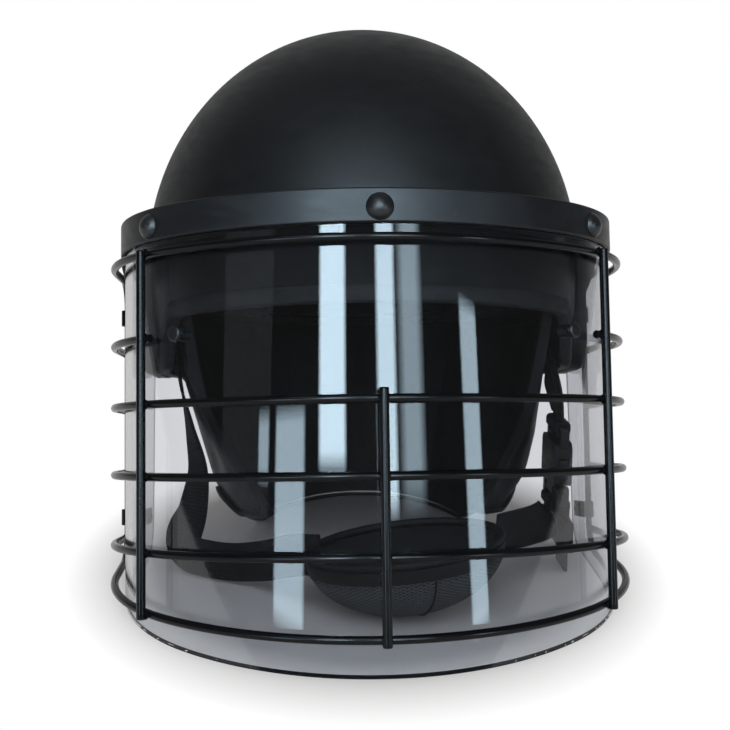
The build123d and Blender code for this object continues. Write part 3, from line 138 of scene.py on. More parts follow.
def smooth_curve(points: Array, count: int) -> Array:
    """A smooth curve through points, each span a cubic whose end slopes follow its neighbours.

    Args:
        points: control points of shape (n, d).
        count: number of samples.

    Returns:
        Samples of shape (count, d).
    """
    padded = np.concatenate([2 * points[:1] - points[1:2], points, 2 * points[-1:] - points[-2:-1]])
    place = np.linspace(0, len(points) - 1, count)
    span = np.minimum(place.astype(int), len(points) - 2)
    t = (place - span)[:, None]
    a, b, c, d = (padded[span + shift] for shift in range(4))
    return 0.5 * (2 * b + (c - a) * t + (2 * a - 5 * b + 4 * c - d) * t**2 + (3 * b - a - 3 * c + d) * t**3)


def slopes(path: Array, closed: bool = False) -> Array:
    """Unit directions of a path, or of a closed one, from each sample's two neighbours."""
    if closed:
        return unit(np.roll(path, -1, 0) - np.roll(path, 1, 0))
    return unit(np.gradient(path, axis=0))


def faced(path: Array, faces: Array, **spacing: float) -> tuple[Array, Array, Array]:
    """A path and the directions it faces, sampled anew at even distances.

    Args:
        path: samples of shape (n, 3).
        faces: directions of the same shape.
        spacing: the step or the count of the new samples.

    Returns:
        The new path, its directions along, and its faces made square to those.
    """
    both = evenly(np.concatenate([path, faces], 1), **spacing)
    along = slopes(both[:, :3])
    return both[:, :3], along, square_to(both[:, 3:], along)


def moved_in(line: Array, by: float) -> Array:
    """A line in a plane moved to its left by a distance, square to its own direction."""
    along = unit(np.gradient(line, axis=0))
    return line + by * np.stack([-along[:, 1], along[:, 0]], -1)


def rounded_rectangle(width: float, height: float, radius: float, count: int, inset: float = 0.0) -> Array:
    """A rectangle with round corners, its outline drawn in by inset.

    Args:
        width: whole width along the first axis.
        height: whole height along the second axis.
        radius: radius of the corners.
        count: number of samples round the outline.
        inset: how far the outline is drawn in.

    Returns:
        Samples of shape (count, 2), anticlockwise.
    """
    quarter = circle(np.linspace(0, math.pi / 2, 12)) * max(radius - inset, 1e-4)
    corner = np.array([width / 2 - radius, height / 2 - radius])
    quarters = []
    for cosine, sine, signs in ((1, 0, [1, 1]), (0, 1, [-1, 1]), (-1, 0, [-1, -1]), (0, -1, [1, -1])):
        quarters.append(quarter @ np.array([[cosine, sine], [-sine, cosine]], float) + corner * signs)
    return evenly(np.concatenate(quarters), count=count, closed=True)


def filled_between(bottom: Array, top: Array, left: Array, right: Array) -> Array:
    """A net between four curves, by the Coons blend.

    The net is the straight filling from bottom to top, plus that from left to right, less the
    filling of the four corners.

    Args:
        bottom: curve of shape (columns, d), from left to right.
        top: the opposite curve.
        left: curve of shape (rows, d), from bottom to top.
        right: the opposite curve.

    Returns:
        Points of shape (rows, columns, d).
    """
    u = np.linspace(0, 1, len(bottom))[None, :, None]
    h = np.linspace(0, 1, len(left))[:, None, None]
    blend = (1 - h) * bottom[None] + h * top[None] + (1 - u) * left[:, None] + u * right[:, None]
    return blend - ((1 - u) * ((1 - h) * bottom[0] + h * top[0]) + u * ((1 - h) * bottom[-1] + h * top[-1]))


# Surfaces


@dataclass
class Patch:
    """A piece of surface: points, four-sided faces, their pattern coordinates and finish numbers."""

    points: Array
    faces: Array
    pattern: Array
    finish: Array


def mean_steps(points: Array, axis: int) -> Array:
    """Mean distance of each row, or each column, of a grid from the first."""
    steps = np.linalg.norm(np.diff(points, axis=axis), axis=-1).mean(1 - axis)
    return np.concatenate([[0], np.cumsum(steps)])


def grid(points: Array, wrap_rows: bool = False, wrap_columns: bool = False, finish: int = 0) -> Patch:
    """A surface through a grid of points.

    The pattern coordinates are the mean distances along the columns and down the rows, in metres,
    so that a weave keeps its scale.

    Args:
        points: array of shape (rows, columns, 3), in millimetres.
        wrap_rows: whether the last row joins the first.
        wrap_columns: whether the last column joins the first.
        finish: number of the finish on these faces.

    Returns:
        The patch.
    """
    rows, columns = points.shape[:2]
    down = mean_steps(np.concatenate([points, points[:1]]) if wrap_rows else points, 0)
    along = mean_steps(np.concatenate([points, points[:, :1]], 1) if wrap_columns else points, 1)
    row, column = np.meshgrid(np.arange(len(down) - 1), np.arange(len(along) - 1), indexing="ij")
    rows_of = row.reshape(-1, 1) + [0, 0, 1, 1]
    columns_of = column.reshape(-1, 1) + [0, 1, 1, 0]
    faces = rows_of % rows * columns + columns_of % columns
    pattern = np.stack([along[columns_of], down[rows_of]], -1)
    return Patch(points.reshape(-1, 3), faces, pattern * MM, np.full(len(faces), finish))


def sleeve(rings: Array, finish: int = 0) -> Patch:
    """A surface through closed rings, given as the rows of a grid."""
    return grid(rings, wrap_columns=True, finish=finish)


def walled(nets: list[Array], edge_finish: int = 0) -> list[Patch]:
    """A closed wall: the first net, the last net turned round, and a band through all their borders."""
    borders = [np.concatenate([net[0, :-1], net[:-1, -1], net[-1, :0:-1], net[:0:-1, 0]]) for net in nets]
    return [grid(nets[0]), grid(nets[-1][::-1]), sleeve(np.stack(borders), edge_finish)]


def carry(
    section: Array, path: Array, side: Array, up: Array, closed: bool = False, sizes: Array | None = None
) -> Array:
    """A section carried along a path.

    Each point of the grid is path + size * (section's first number * side + its second * up).

    Args:
        section: outline of shape (m, 2).
        path: samples of shape (n, 3).
        side: unit vectors of shape (n, 3) for the section's first axis.
        up: unit vectors of shape (n, 3) for its second axis.
        closed: whether the path returns to its start, in which case its ends aren't closed.
        sizes: size of the section at each sample, one where it is left out.

    Returns:
        Grid of points of shape (rows, m, 3). An open path gets a closing point at each end.
    """
    scale = np.ones(len(path)) if sizes is None else sizes
    spread = section[None, :, :1] * side[:, None] + section[None, :, 1:] * up[:, None]
    body = path[:, None] + scale[:, None, None] * spread
    if closed:
        return body
    ends = np.broadcast_to(path[[0, -1]][:, None], (2, len(section), 3))
    return np.concatenate([ends[:1], body, ends[1:]])


def tube(
    path: Array, outward: Array, radius: float, sides: int = 14, closed: bool = False, round_off: float = 0.0
) -> Patch:
    """A round wire along a path.

    Args:
        path: samples of shape (n, 3).
        outward: unit vectors square to the path.
        radius: radius of the wire.
        sides: number of faces round it.
        closed: whether the wire is a closed ring.
        round_off: length at each end over which the wire is rounded off, as on a quarter ellipse.

    Returns:
        The patch.
    """
    along = slopes(path, closed)
    side = square_to(outward, along)
    up = np.cross(along, side)
    section = radius * circle(full_turn(sides))
    if closed or round_off <= 0:
        return grid(carry(section, path, side, up, closed), closed, True)
    bend = np.linspace(0, math.pi / 2, 6)[:-1][::-1]
    shrink = 1 - (round_off / radius) * (1 - np.cos(bend))
    back = (round_off - round_off * np.sin(bend))[:, None]
    inner = np.linalg.norm(path[:, None] - path[[0, -1]], axis=2).min(1) > round_off
    whole = np.concatenate([path[0] + along[0] * back, path[inner], (path[-1] - along[-1] * back)[::-1]])
    sizes = np.concatenate([shrink, np.ones(inner.sum()), shrink[::-1]])
    first, last = np.zeros(len(bend), int), np.full(len(bend), len(path) - 1)
    order = np.concatenate([first, np.flatnonzero(inner), last])
    return sleeve(carry(section, whole, side[order], up[order], sizes=sizes))


def turned(profile: Array, origin: Array, axis: Array, sides: int) -> Patch:
    """A profile turned about an axis that isn't upright.

    Args:
        profile: samples of shape (n, 2): radius and distance along the axis.
        origin: point on the axis where that distance is zero.
        axis: unit vector of the axis.
        sides: number of faces round it.

    Returns:
        The patch.
    """
    side = unit(np.cross([0.0, 0.0, 1.0], axis))
    turn = full_turn(sides)[:, None]
    ring = np.cos(turn) * side + np.sin(turn) * np.cross(axis, side)
    return sleeve(origin + profile[:, None, :1] * ring[None] + profile[:, None, 1:] * axis)


def blob(centre: Array, along: Array, outward: Array, sizes: Triple) -> Patch:
    """A small closed egg shape, for a weld or a stitch.

    Args:
        centre: its middle.
        along: unit vector of its first axis.
        outward: unit vector of its second axis, square to the first.
        sizes: half lengths along those two axes and the third.

    Returns:
        The patch: cos(v) cos(u), sin(v) and cos(v) sin(u) times the half lengths.
    """
    v = np.linspace(-math.pi / 2, math.pi / 2, 6)[:, None]
    u = full_turn(10)[None]
    return sleeve(
        centre
        + (np.cos(v) * np.cos(u))[..., None] * along * sizes[0]
        + (np.sin(v) + 0 * u)[..., None] * outward * sizes[1]
        + (np.cos(v) * np.sin(u))[..., None] * np.cross(along, outward) * sizes[2]
    )


def stitches(path: Array, outward: Array, pitch: float, size: Triple, lift: float = 0.1) -> list[Patch]:
    """A row of stitches along a path.

    Args:
        path: samples of shape (n, 3).
        outward: unit vectors away from the cloth.
        pitch: distance from one stitch to the next.
        size: half lengths of a stitch along, away from and across the row.
        lift: how far the middle of a stitch stands above the path.

    Returns:
        One patch for each stitch.
    """
    return [blob(p + lift * n, t, n, size) for p, t, n in zip(*faced(path, outward, step=pitch))]


# How the helmet stands


@dataclass(frozen=True)
class Stance:
    """How the upright helmet leans back and where it stands on the table."""

    lean: float = math.radians(15.5)
    lift: float = 55.4974
    buckle_y: float = -30.0
    toe_y: float = -154
    toe_z: float = -100.3

    def lean_back(self, points: Array) -> Array:
        """Points of the upright drawing turned about x by the lean and lifted."""
        cosine, sine = math.cos(self.lean), math.sin(self.lean)
        across, along, height = points[..., 0], points[..., 1], points[..., 2]
        back, up = along * cosine + height * sine, height * cosine - along * sine + self.lift
        return np.stack([across, back, up], -1)

    def standing(self, points: Array) -> Array:
        """Points of the standing drawing moved along y over the origin, in metres."""
        low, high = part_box("strap_keeper")
        return (points + np.array([0, 0.5 * (low.y + high.y) / MM - self.buckle_y, 0])) * MM

    def upright(self, points: Array) -> Array:
        """Points of the upright drawing, leaned back, set down and brought to metres."""
        return self.standing(self.lean_back(points))

    def table(self, along: Array) -> Array:
        """Height of the table under the leaned helmet, in the upright drawing."""
        return self.toe_z + (along - self.toe_y) * math.tan(self.lean)


STANCE = Stance()


class Drawing(Enum):
    """Which of the two drawings a piece is worked out in."""

    UPRIGHT = "upright"
    STANDING = "standing"


class Side(Enum):
    """Left or right of the helmet, as its wearer's front is seen."""

    LEFT = -1
    RIGHT = 1

    @property
    def word(self) -> str:
        """The side as the names of nodes have it."""
        return self.name.lower()

    def of(self, patches: list[Patch]) -> list[Patch]:
        """Patches worked out for the right, with x turned round for the left."""
        if self is Side.RIGHT:
            return patches
        return [Patch(p.points * [-1, 1, 1], p.faces[:, ::-1], p.pattern[:, ::-1], p.finish) for p in patches]


# Finishes


class NodeSheet:
    """A node tree under construction, with short ways to add the usual nodes."""

    def __init__(self, tree: bpy.types.NodeTree) -> None:
        """Take hold of a tree."""
        self.nodes = tree.nodes
        self.links = tree.links
        self.place = self.nodes.new("ShaderNodeTexCoord")

    def put(self, target: Socket, value: Feed) -> None:
        """Join a socket to the one that feeds it, or set its plain value."""
        if isinstance(value, Socket):
            self.links.new(value, target)
        else:
            target.default_value = value

    def node(self, kind: str, feeds: dict[str | int, Feed], **settings: str) -> bpy.types.Node:
        """A new node.

        Args:
            kind: its type, without the usual start of the name.
            feeds: what goes into its sockets, links or plain values.
            settings: its own options.

        Returns:
            The node.
        """
        made = self.nodes.new("ShaderNode" + kind)
        for name, value in settings.items():
            setattr(made, name, value)
        for socket, value in feeds.items():
            self.put(made.inputs[socket], value)
        return made

    def ranged(self, source: Socket, low: float, high: float, start: float = 0.0, end: float = 1.0) -> Socket:
        """A value brought from one range to another, held at its ends."""
        feeds = {"Value": source, "From Min": start, "From Max": end, "To Min": low, "To Max": high}
        return self.node("MapRange", feeds).outputs["Result"]

    def sum(self, first: Socket, second: Socket, operation: str = "ADD") -> Socket:
        """Two values added, or put together by another operation."""
        return self.node("Math", {0: first, 1: second}, operation=operation).outputs["Value"]

    def parts(self, source: Socket) -> list[Socket]:
        """The x, y and z of a vector."""
        return list(self.node("SeparateXYZ", {0: source}).outputs)


class ShaderSheet(NodeSheet):
    """A material under construction, with its main shader."""

    def __init__(self, name: str) -> None:
        """Start a material with one main shader."""
        self.material = bpy.data.materials.new(name)
        self.material.use_nodes = True
        super().__init__(self.material.node_tree)
        self.shader = self.nodes["Principled BSDF"]

    def stretched(self, source: Socket, scale: Triple, turn: float = 0.0) -> Socket:
        """Coordinates stretched along each axis and turned about z."""
        feeds = {"Vector": source, "Scale": scale, "Rotation": (0, 0, turn)}
        return self.node("Mapping", feeds).outputs["Vector"]

    def noise(self, source: Socket, scale: float, detail: float = 3.0, rough: float = 0.55) -> Socket:
        """Cloudy noise with that many grains to the metre."""
        feeds = {"Vector": source, "Scale": scale, "Detail": detail, "Roughness": rough}
        return self.node("TexNoise", feeds).outputs["Fac"]

    def cells(self, source: Socket, scale: float, feature: str = "F1", random: float = 1.0) -> Socket:
        """Distance in a pattern of cells, such as grain, beads or the holes of a knit."""
        feeds = {"Vector": source, "Scale": scale, "Randomness": random}
        return self.node("TexVoronoi", feeds, feature=feature).outputs["Distance"]

    def bands(self, source: Socket, scale: float, direction: str, warp: float = 0.0) -> Socket:
        """Even sine bands across one direction."""
        feeds = {"Vector": source, "Scale": scale, "Distortion": warp}
        kinds = {"wave_type": "BANDS", "bands_direction": direction, "wave_profile": "SIN"}
        return self.node("TexWave", feeds, **kinds).outputs["Fac"]

    def mixed(self, share: Socket, first: Triple, second: Triple) -> Socket:
        """A colour between two, by a share that varies over the surface."""
        node = self.node("ValToRGB", {"Fac": share})
        for element, colour in zip(node.color_ramp.elements, (first, second)):
            element.color = (*colour, 1)
        return node.outputs["Color"]

    def relief(self, height: Socket, depth: float, below: Socket | None = None) -> Socket:
        """A bumped normal from a height of that depth in millimetres, over another one."""
        feeds = {"Strength": 1.0, "Distance": depth * MM, "Height": height}
        if below is not None:
            feeds["Normal"] = below
        return self.node("Bump", feeds).outputs["Normal"]

    def feed(self, **values: Feed) -> None:
        """Join or set sockets of the main shader, named with _ for a space."""
        for name, value in values.items():
            self.put(self.shader.inputs[name.replace("_", " ")], value)

    def shown(self, surface: Socket) -> None:
        """Put another shader in the main one's place."""
        self.put(self.nodes["Material Output"].inputs["Surface"], surface)


@dataclass(frozen=True)
class Finish:
    """What every finish has: a name and the record's material slot."""

    name: str
    slot: str

    def material(self) -> bpy.types.Material:
        """The material with this finish, made once."""
        made = bpy.data.materials.get(self.name)
        if made is None:
            sheet = ShaderSheet(self.name)
            self.mix(sheet, sheet.place.outputs["Object"])
            made = sheet.material
        return made

    def mix(self, sheet: ShaderSheet, place: Socket) -> None:
        """Add this finish's nodes to a sheet, over the object's coordinates."""
        raise NotImplementedError


@dataclass(frozen=True)
class Coating(Finish):
    """Paint, moulded plastic or rubber: a fine grain, a soft mottle, and specks of dust."""

    colour: Triple
    worn: Triple
    roughness: float = 0.5
    uneven: float = 0.06
    shine: float = 0.5
    grain: float = 1400.0
    grain_depth: float = 0.02
    orange_peel: float = 0.0
    dust: float = 0.0
    dust_colour: tuple[float, ...] = (0.32, 0.31, 0.3, 1)

    def mix(self, sheet: ShaderSheet, place: Socket) -> None:
        """Mottle in the colour, smears in the gloss, grain in the relief, specks of dust on top."""
        mottle = sheet.noise(place, 26, 4)
        smear = sheet.noise(sheet.stretched(place, (1, 1, 3)), 60, 3)
        colour = sheet.mixed(sheet.ranged(mottle, 0, 1, 0.35, 0.7), self.colour, self.worn)
        rough = sheet.ranged(smear, self.roughness - self.uneven, self.roughness + self.uneven, 0.3, 0.7)
        normal = sheet.relief(sheet.noise(place, self.grain, 2), self.grain_depth)
        if self.orange_peel:
            normal = sheet.relief(sheet.noise(place, self.grain / 6, 2), self.orange_peel, normal)
        if self.dust:
            specks = sheet.ranged(sheet.noise(place, 900, 1), 0, self.dust, 0.74, 0.82)
            blend = sheet.node("Mix", {0: specks, 6: colour, 7: self.dust_colour}, data_type="RGBA")
            colour = blend.outputs[2]
        sheet.feed(Base_Color=colour, Roughness=rough, Normal=normal, Specular_IOR_Level=self.shine)


@dataclass(frozen=True)
class ClearSheet(Finish):
    """Clear bent sheet with a faint grey tint, or its cut edge, which is made opaque and dark as painted
    shade.
    """

    tint: Triple = (0.69, 0.705, 0.735)
    roughness: float = 0.015
    clear: float = 1.0
    shine: float = 0.5

    def mix(self, sheet: ShaderSheet, place: Socket) -> None:
        """Haze in the gloss and fine upright scuffs in the relief."""
        haze = sheet.noise(sheet.stretched(place, (1, 1, 0.25)), 45, 4)
        scuffs = sheet.noise(sheet.stretched(place, (30, 30, 700)), 1, 2)
        rough = sheet.ranged(haze, self.roughness, self.roughness * 2.4, 0.45, 0.75)
        sheet.feed(Base_Color=(*self.tint, 1), Roughness=rough, Normal=sheet.relief(scuffs, 0.002))
        sheet.feed(Transmission_Weight=self.clear, IOR=1.49, Specular_IOR_Level=self.shine)


@dataclass(frozen=True)
class Weave(Finish):
    """Woven webbing: ribs across it, yarns along it, worn lighter here and there, with painted shade in the
    weave's dips.
    """

    colour: Triple = (0.005, 0.0055, 0.0065)
    raised: Triple = (0.020, 0.0215, 0.024)
    ribs: float = 150.0
    yarns: float = 210.0
    depth: float = 0.22

    def mix(self, sheet: ShaderSheet, place: Socket) -> None:
        """Ribs times yarns on the pattern map, with fuzz, and wear on the object's coordinates."""
        pattern = sheet.place.outputs["UV"]
        ribs, yarns = sheet.bands(pattern, self.ribs, "Y"), sheet.bands(pattern, self.yarns, "X", 0.4)
        weave = sheet.sum(ribs, yarns, "MULTIPLY")
        fuzz, wear = sheet.noise(pattern, 5200, 2), sheet.noise(place, 70, 4)
        # Colour share: partly the weave's own pattern, partly painted shade in its dips and painted highlight
        # on the raised yarns, from the relief's height, plus real wear at random.
        share = sheet.sum(sheet.ranged(weave, 0, 0.7), sheet.ranged(wear, 0, 0.35, 0.4, 0.8))
        normal = sheet.relief(weave, self.depth, sheet.relief(fuzz, 0.05))
        sheet.feed(Base_Color=sheet.mixed(share, self.colour, self.raised), Roughness=0.75, Normal=normal)
        sheet.feed(Sheen_Weight=0.04, Sheen_Roughness=0.4, Specular_IOR_Level=0.12)


@dataclass(frozen=True)
class Knit(Finish):
    """Spacer mesh: slanting rows of small holes, with painted shade in the holes and a painted highlight on
    the threads.
    """

    colour: Triple = (0.0025, 0.0028, 0.0034)
    raised: Triple = (0.085, 0.09, 0.096)
    pitch: float = 1.9
    depth: float = 0.5

    def mix(self, sheet: ShaderSheet, place: Socket) -> None:
        """Holes on the pattern map, which keeps their rows straight, and fuzz on the threads."""
        pattern = sheet.place.outputs["UV"]
        slanted = sheet.stretched(pattern, (1.0, 1.25, 1.0), math.radians(45))
        rim = sheet.ranged(sheet.cells(slanted, 1 / (self.pitch * MM), random=0.08), 0, 1, 0.2, 0.5)
        height = sheet.sum(rim, sheet.ranged(sheet.noise(pattern, 4800, 3), 0, 0.25))
        # The colour follows the relief's height: partly the mesh's own open pattern, partly painted shade in
        # the holes and painted highlight on the threads.
        colour = sheet.mixed(sheet.ranged(height, 0, 1, 0.1, 1.1), self.colour, self.raised)
        sheet.feed(Base_Color=colour, Roughness=0.65, Normal=sheet.relief(height, self.depth))
        sheet.feed(Sheen_Weight=0.05, Sheen_Roughness=0.5, Specular_IOR_Level=0.3)


@dataclass(frozen=True)
class Brushed(Finish):
    """Short-napped cloth of the comfort pads."""

    colour: Triple = (0.007, 0.0075, 0.009)
    raised: Triple = (0.021, 0.0225, 0.025)

    def mix(self, sheet: ShaderSheet, place: Socket) -> None:
        """Nap and soft shading in the colour, nap over a fine weave in the relief."""
        nap, shade = sheet.noise(place, 2600, 4, 0.7), sheet.noise(place, 34, 3)
        share = sheet.sum(sheet.ranged(nap, 0, 0.7), sheet.ranged(shade, 0, 0.3))
        normal = sheet.relief(nap, 0.16, sheet.relief(sheet.cells(place, 1100), 0.12))
        sheet.feed(Base_Color=sheet.mixed(share, self.colour, self.raised), Roughness=0.85, Normal=normal)
        sheet.feed(Sheen_Weight=0.08, Sheen_Roughness=0.35, Specular_IOR_Level=0.15)


@dataclass(frozen=True)
class Hide(Finish):
    """Soft grained sheet of the guard: leather grain, folds and a dull shine."""

    colour: Triple = (0.005, 0.0056, 0.0064)
    raised: Triple = (0.012, 0.013, 0.0145)
    roughness: float = 0.46
    grain: float = 620.0

    def mix(self, sheet: ShaderSheet, place: Socket) -> None:
        """Creases in colour, gloss and relief, with the edges of the grain's cells on top.
        In the colour the creases are painted shade in the fold hollows and painted highlight on the ridges.
        """
        creases = sheet.noise(sheet.stretched(place, (1, 1, 0.4)), 38, 5, 0.6)
        grain = sheet.ranged(sheet.cells(place, self.grain, "DISTANCE_TO_EDGE"), 0, 1, 0, 0.12)
        below = sheet.relief(creases, 0.9, sheet.relief(sheet.noise(place, 3000, 2), 0.02))
        # The base colour follows the fold relief: painted shade in the hollows, painted highlight on the
        # ridges.
        sheet.feed(
            Base_Color=sheet.mixed(sheet.ranged(creases, 0, 1, 0.35, 0.75), self.colour, self.raised),
            Roughness=sheet.ranged(creases, self.roughness - 0.08, self.roughness + 0.1, 0.3, 0.7),
            Normal=sheet.relief(grain, 0.09, below),
            Specular_IOR_Level=0.26,
        )


@dataclass(frozen=True)
class Foam(Finish):
    """Impact foam of pressed beads, or a fine open foam where the beads are tiny."""

    colour: Triple = (0.014, 0.015, 0.017)
    raised: Triple = (0.035, 0.037, 0.04)
    bead: float = 3.6
    depth: float = 0.35

    def mix(self, sheet: ShaderSheet, place: Socket) -> None:
        """Beads from the distance to their cells' edges, under a fine skin.
        In the colour the grooves between beads are painted shade and the bead crowns are lighter.
        """
        beads = sheet.cells(place, 1 / (self.bead * MM), "DISTANCE_TO_EDGE")
        crown, skin = sheet.ranged(beads, 0, 1, 0, 0.18), sheet.noise(place, 2400, 3)
        # Colour share: painted shade in the grooves between beads, lighter bead crowns, and random tone from
        # the skin.
        share = sheet.sum(sheet.ranged(crown, 0, 0.6), sheet.ranged(skin, 0, 0.3))
        normal = sheet.relief(crown, self.depth, sheet.relief(skin, 0.05))
        sheet.feed(Base_Color=sheet.mixed(share, self.colour, self.raised), Roughness=0.82)
        sheet.feed(Normal=normal, Specular_IOR_Level=0.25)


@dataclass(frozen=True)
class Metal(Finish):
    """Turned or pressed metal with fine tool marks and a little tarnish."""

    colour: Triple = (0.52, 0.52, 0.5)
    tarnish: Triple = (0.3, 0.29, 0.27)
    roughness: float = 0.32

    def mix(self, sheet: ShaderSheet, place: Socket) -> None:
        """Tarnish in the colour, tool marks in gloss and relief."""
        marks = sheet.noise(sheet.stretched(place, (600, 6000, 6000)), 1, 2)
        stain = sheet.ranged(sheet.noise(place, 220, 4), 1, 0, 0.35, 0.7)
        sheet.feed(
            Base_Color=sheet.mixed(stain, self.tarnish, self.colour),
            Roughness=sheet.ranged(marks, self.roughness - 0.08, self.roughness + 0.12, 0.3, 0.7),
            Normal=sheet.relief(marks, 0.01),
            Metallic=1.0,
        )


# Each coating: its name and slot, colour and worn colour, then roughness, unevenness, shine, grain,
# grain depth, orange peel and dust.
SHELL_COAT = Coating(
    "shell_coat", "shell_black", (0.006, 0.0066, 0.0075), (0.0095, 0.0105, 0.012),
    0.45, 0.05, 0.26, 1700, 0.03, 0.05, 0.16,
)
PAD_PLASTIC = Coating(
    "pad_plastic", "pad_black", (0.007, 0.008, 0.009), (0.012, 0.013, 0.0145),
    0.5, 0.06, 0.2, 1100, 0.06,
)
TRIM_RUBBER = Coating(
    "trim_rubber", "rubber_black", (0.007, 0.007, 0.008), (0.014, 0.014, 0.015),
    0.62, 0.08, 0.35, 2000, 0.02,
)
BAND_COAT = Coating(
    "band_coat", "band_black", (0.007, 0.0082, 0.0105), (0.011, 0.0125, 0.016),
    0.4, 0.05, 0.36, 1500, 0.03, 0.03, 0.2,
)
WIRE_COAT = Coating(
    "wire_coat", "wire_black", (0.0035, 0.004, 0.005), (0.006, 0.0068, 0.0085),
    0.2, 0.05, 0.2, 900, 0.006, 0.02,
)
SCREW_COAT = Coating(
    "screw_coat", "screw_black", (0.008, 0.009, 0.011), (0.016, 0.018, 0.02),
    0.36, 0.08, 0.5, 1600, 0.015,
)
BUCKLE_PLASTIC = Coating(
    "buckle_plastic", "buckle_black", (0.0055, 0.006, 0.007), (0.0095, 0.0105, 0.012),
    0.4, 0.06, 0.3, 1300, 0.03,
)
WASHER_PLASTIC = Coating(
    "washer_plastic", "washer_black", (0.012, 0.012, 0.013), (0.02, 0.02, 0.021),
    0.6, 0.05, 0.4, 1200, 0.02,
)
PIPING_COVER = Coating(
    "piping_cover", "piping", (0.0065, 0.007, 0.008), (0.012, 0.013, 0.0145),
    0.5, 0.07, 0.22, 1500, 0.03,
)
THREAD = Coating(
    "sewing_thread", "webbing", (0.014, 0.015, 0.017), (0.034, 0.036, 0.04),
    0.7, 0.08, 0.3, 3000, 0.03,
)
VISOR_FACE = ClearSheet("visor_face", "visor_clear")
# The cut edge's opaque near-black colour is painted shade for the dark line along the clear edge.
VISOR_EDGE_PAINTED_SHADE = ClearSheet("visor_edge_painted_shade", "visor_clear", (0.010, 0.012, 0.015), 0.35, 0.0, 0.08)
WEBBING = Weave("strap_webbing", "webbing")
CUP_MESH = Knit("cup_spacer_mesh", "cup_mesh")
CUP_HIDE = Hide("cup_collar", "guard_leather", (0.006, 0.0066, 0.0072), (0.014, 0.0155, 0.0165), 0.36, 700)
PAD_CLOTH = Brushed("pad_cloth_nap", "pad_cloth")
GUARD_HIDE = Hide("guard_hide", "guard_leather")
LINER_FOAM = Foam("liner_beads", "foam_black")
SEAL_FOAM = Foam("seal_foam", "foam_black", (0.010, 0.011, 0.012), (0.026, 0.027, 0.03), 0.9, 0.12)
STEEL = Metal("plated_steel", "steel")
BRASS = Metal("turned_brass", "brass", (0.62, 0.46, 0.2), (0.4, 0.27, 0.1), 0.3)


# From patches to pieces


def into_scene(name: str, data: bpy.types.ID) -> Thing:
    """A new object with this data, in the scene."""
    made = bpy.data.objects.new(name, data)
    bpy.context.scene.collection.objects.link(made)
    return made


def tidied(mesh: bpy.types.Mesh, reach: float, outwards: bool, sharp: float, finishes: list[Finish]) -> None:
    """Join points that lie together, shade a mesh smooth and give it its materials.

    Args:
        mesh: the mesh, changed in place.
        reach: distance in metres within which points are one.
        outwards: whether the faces are turned outwards.
        sharp: angle in degrees above which an edge stays sharp.
        finishes: its materials in order.
    """
    work = bmesh.new()
    work.from_mesh(mesh)
    bmesh.ops.remove_doubles(work, verts=work.verts, dist=reach)
    bmesh.ops.dissolve_degenerate(work, edges=work.edges, dist=1e-7)
    if outwards:
        bmesh.ops.recalc_face_normals(work, faces=work.faces)
    work.to_mesh(mesh)
    work.free()
    if "custom_normal" in mesh.attributes:
        mesh.attributes.remove(mesh.attributes["custom_normal"])
    mesh.shade_smooth()
    mesh.set_sharp_from_angle(angle=math.radians(sharp))
    for finish in finishes:
        mesh.materials.append(finish.material())


def to_object(name: str, patches: list[Patch], move: Drawing, finishes: list[Finish], sharp: float) -> Thing:
    """One mesh object from patches, with their shared edges joined and its faces turned outwards.

    Args:
        name: name of the object.
        patches: its surfaces, which close the piece together.
        move: drawing that the points belong to.
        finishes: materials in the order of the patches' numbers.
        sharp: angle in degrees above which an edge stays sharp.

    Returns:
        The object, at the origin.
    """
    place = STANCE.upright if move is Drawing.UPRIGHT else STANCE.standing
    starts = np.cumsum([0] + [len(patch.points) for patch in patches[:-1]])
    points = place(np.concatenate([patch.points for patch in patches]))
    faces = np.concatenate([patch.faces + start for patch, start in zip(patches, starts)])
    numbers = np.concatenate([patch.finish for patch in patches])
    mesh = bpy.data.meshes.new(name)
    mesh.vertices.add(len(points))
    mesh.vertices.foreach_set("co", points.astype(np.float32).ravel())
    mesh.loops.add(faces.size)
    mesh.loops.foreach_set("vertex_index", faces.ravel().astype(np.int32))
    mesh.polygons.add(len(faces))
    mesh.polygons.foreach_set("loop_start", np.arange(len(faces), dtype=np.int32) * 4)
    mesh.polygons.foreach_set("material_index", numbers.astype(np.int32))
    mesh.update(calc_edges=True)
    pattern = np.concatenate([patch.pattern for patch in patches])
    mesh.uv_layers.new(name="pattern").uv.foreach_set("vector", pattern.astype(np.float32).ravel())
    tidied(mesh, 4e-6, True, sharp, finishes)
    return into_scene(name, mesh)


def settle(made: Thing, finish: Finish, nodes: tuple[str, ...], body: str) -> Thing:
    """Put an object on its body and the nodes it stands for, and report it.

    Args:
        made: the object.
        finish: its main finish.
        nodes: nodes that it stands for.
        body: body that it moves with.

    Returns:
        The same object.
    """
    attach(made, body)
    if nodes:
        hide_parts(*nodes)
    LOG.info("%s: %d faces, finish %s", made.name, len(made.data.polygons), finish.name)
    return made


def piece(
    name: str,
    patches: list[Patch],
    finishes: list[Finish],
    nodes: tuple[str, ...] = (),
    body: str = HELMET,
    move: Drawing = Drawing.UPRIGHT,
    sharp: float = 35.0,
) -> Thing:
    """A finished piece on its body, standing for its nodes.

    Args:
        name: name of the piece.
        patches: its surfaces.
        finishes: its materials, the first of which is named in the log.
        nodes: nodes that it stands for.
        body: body that it moves with.
        move: drawing that the points belong to.
        sharp: angle in degrees above which an edge stays sharp.

    Returns:
        The object.
    """
    return settle(to_object(name, patches, move, finishes, sharp), finishes[0], nodes, body)


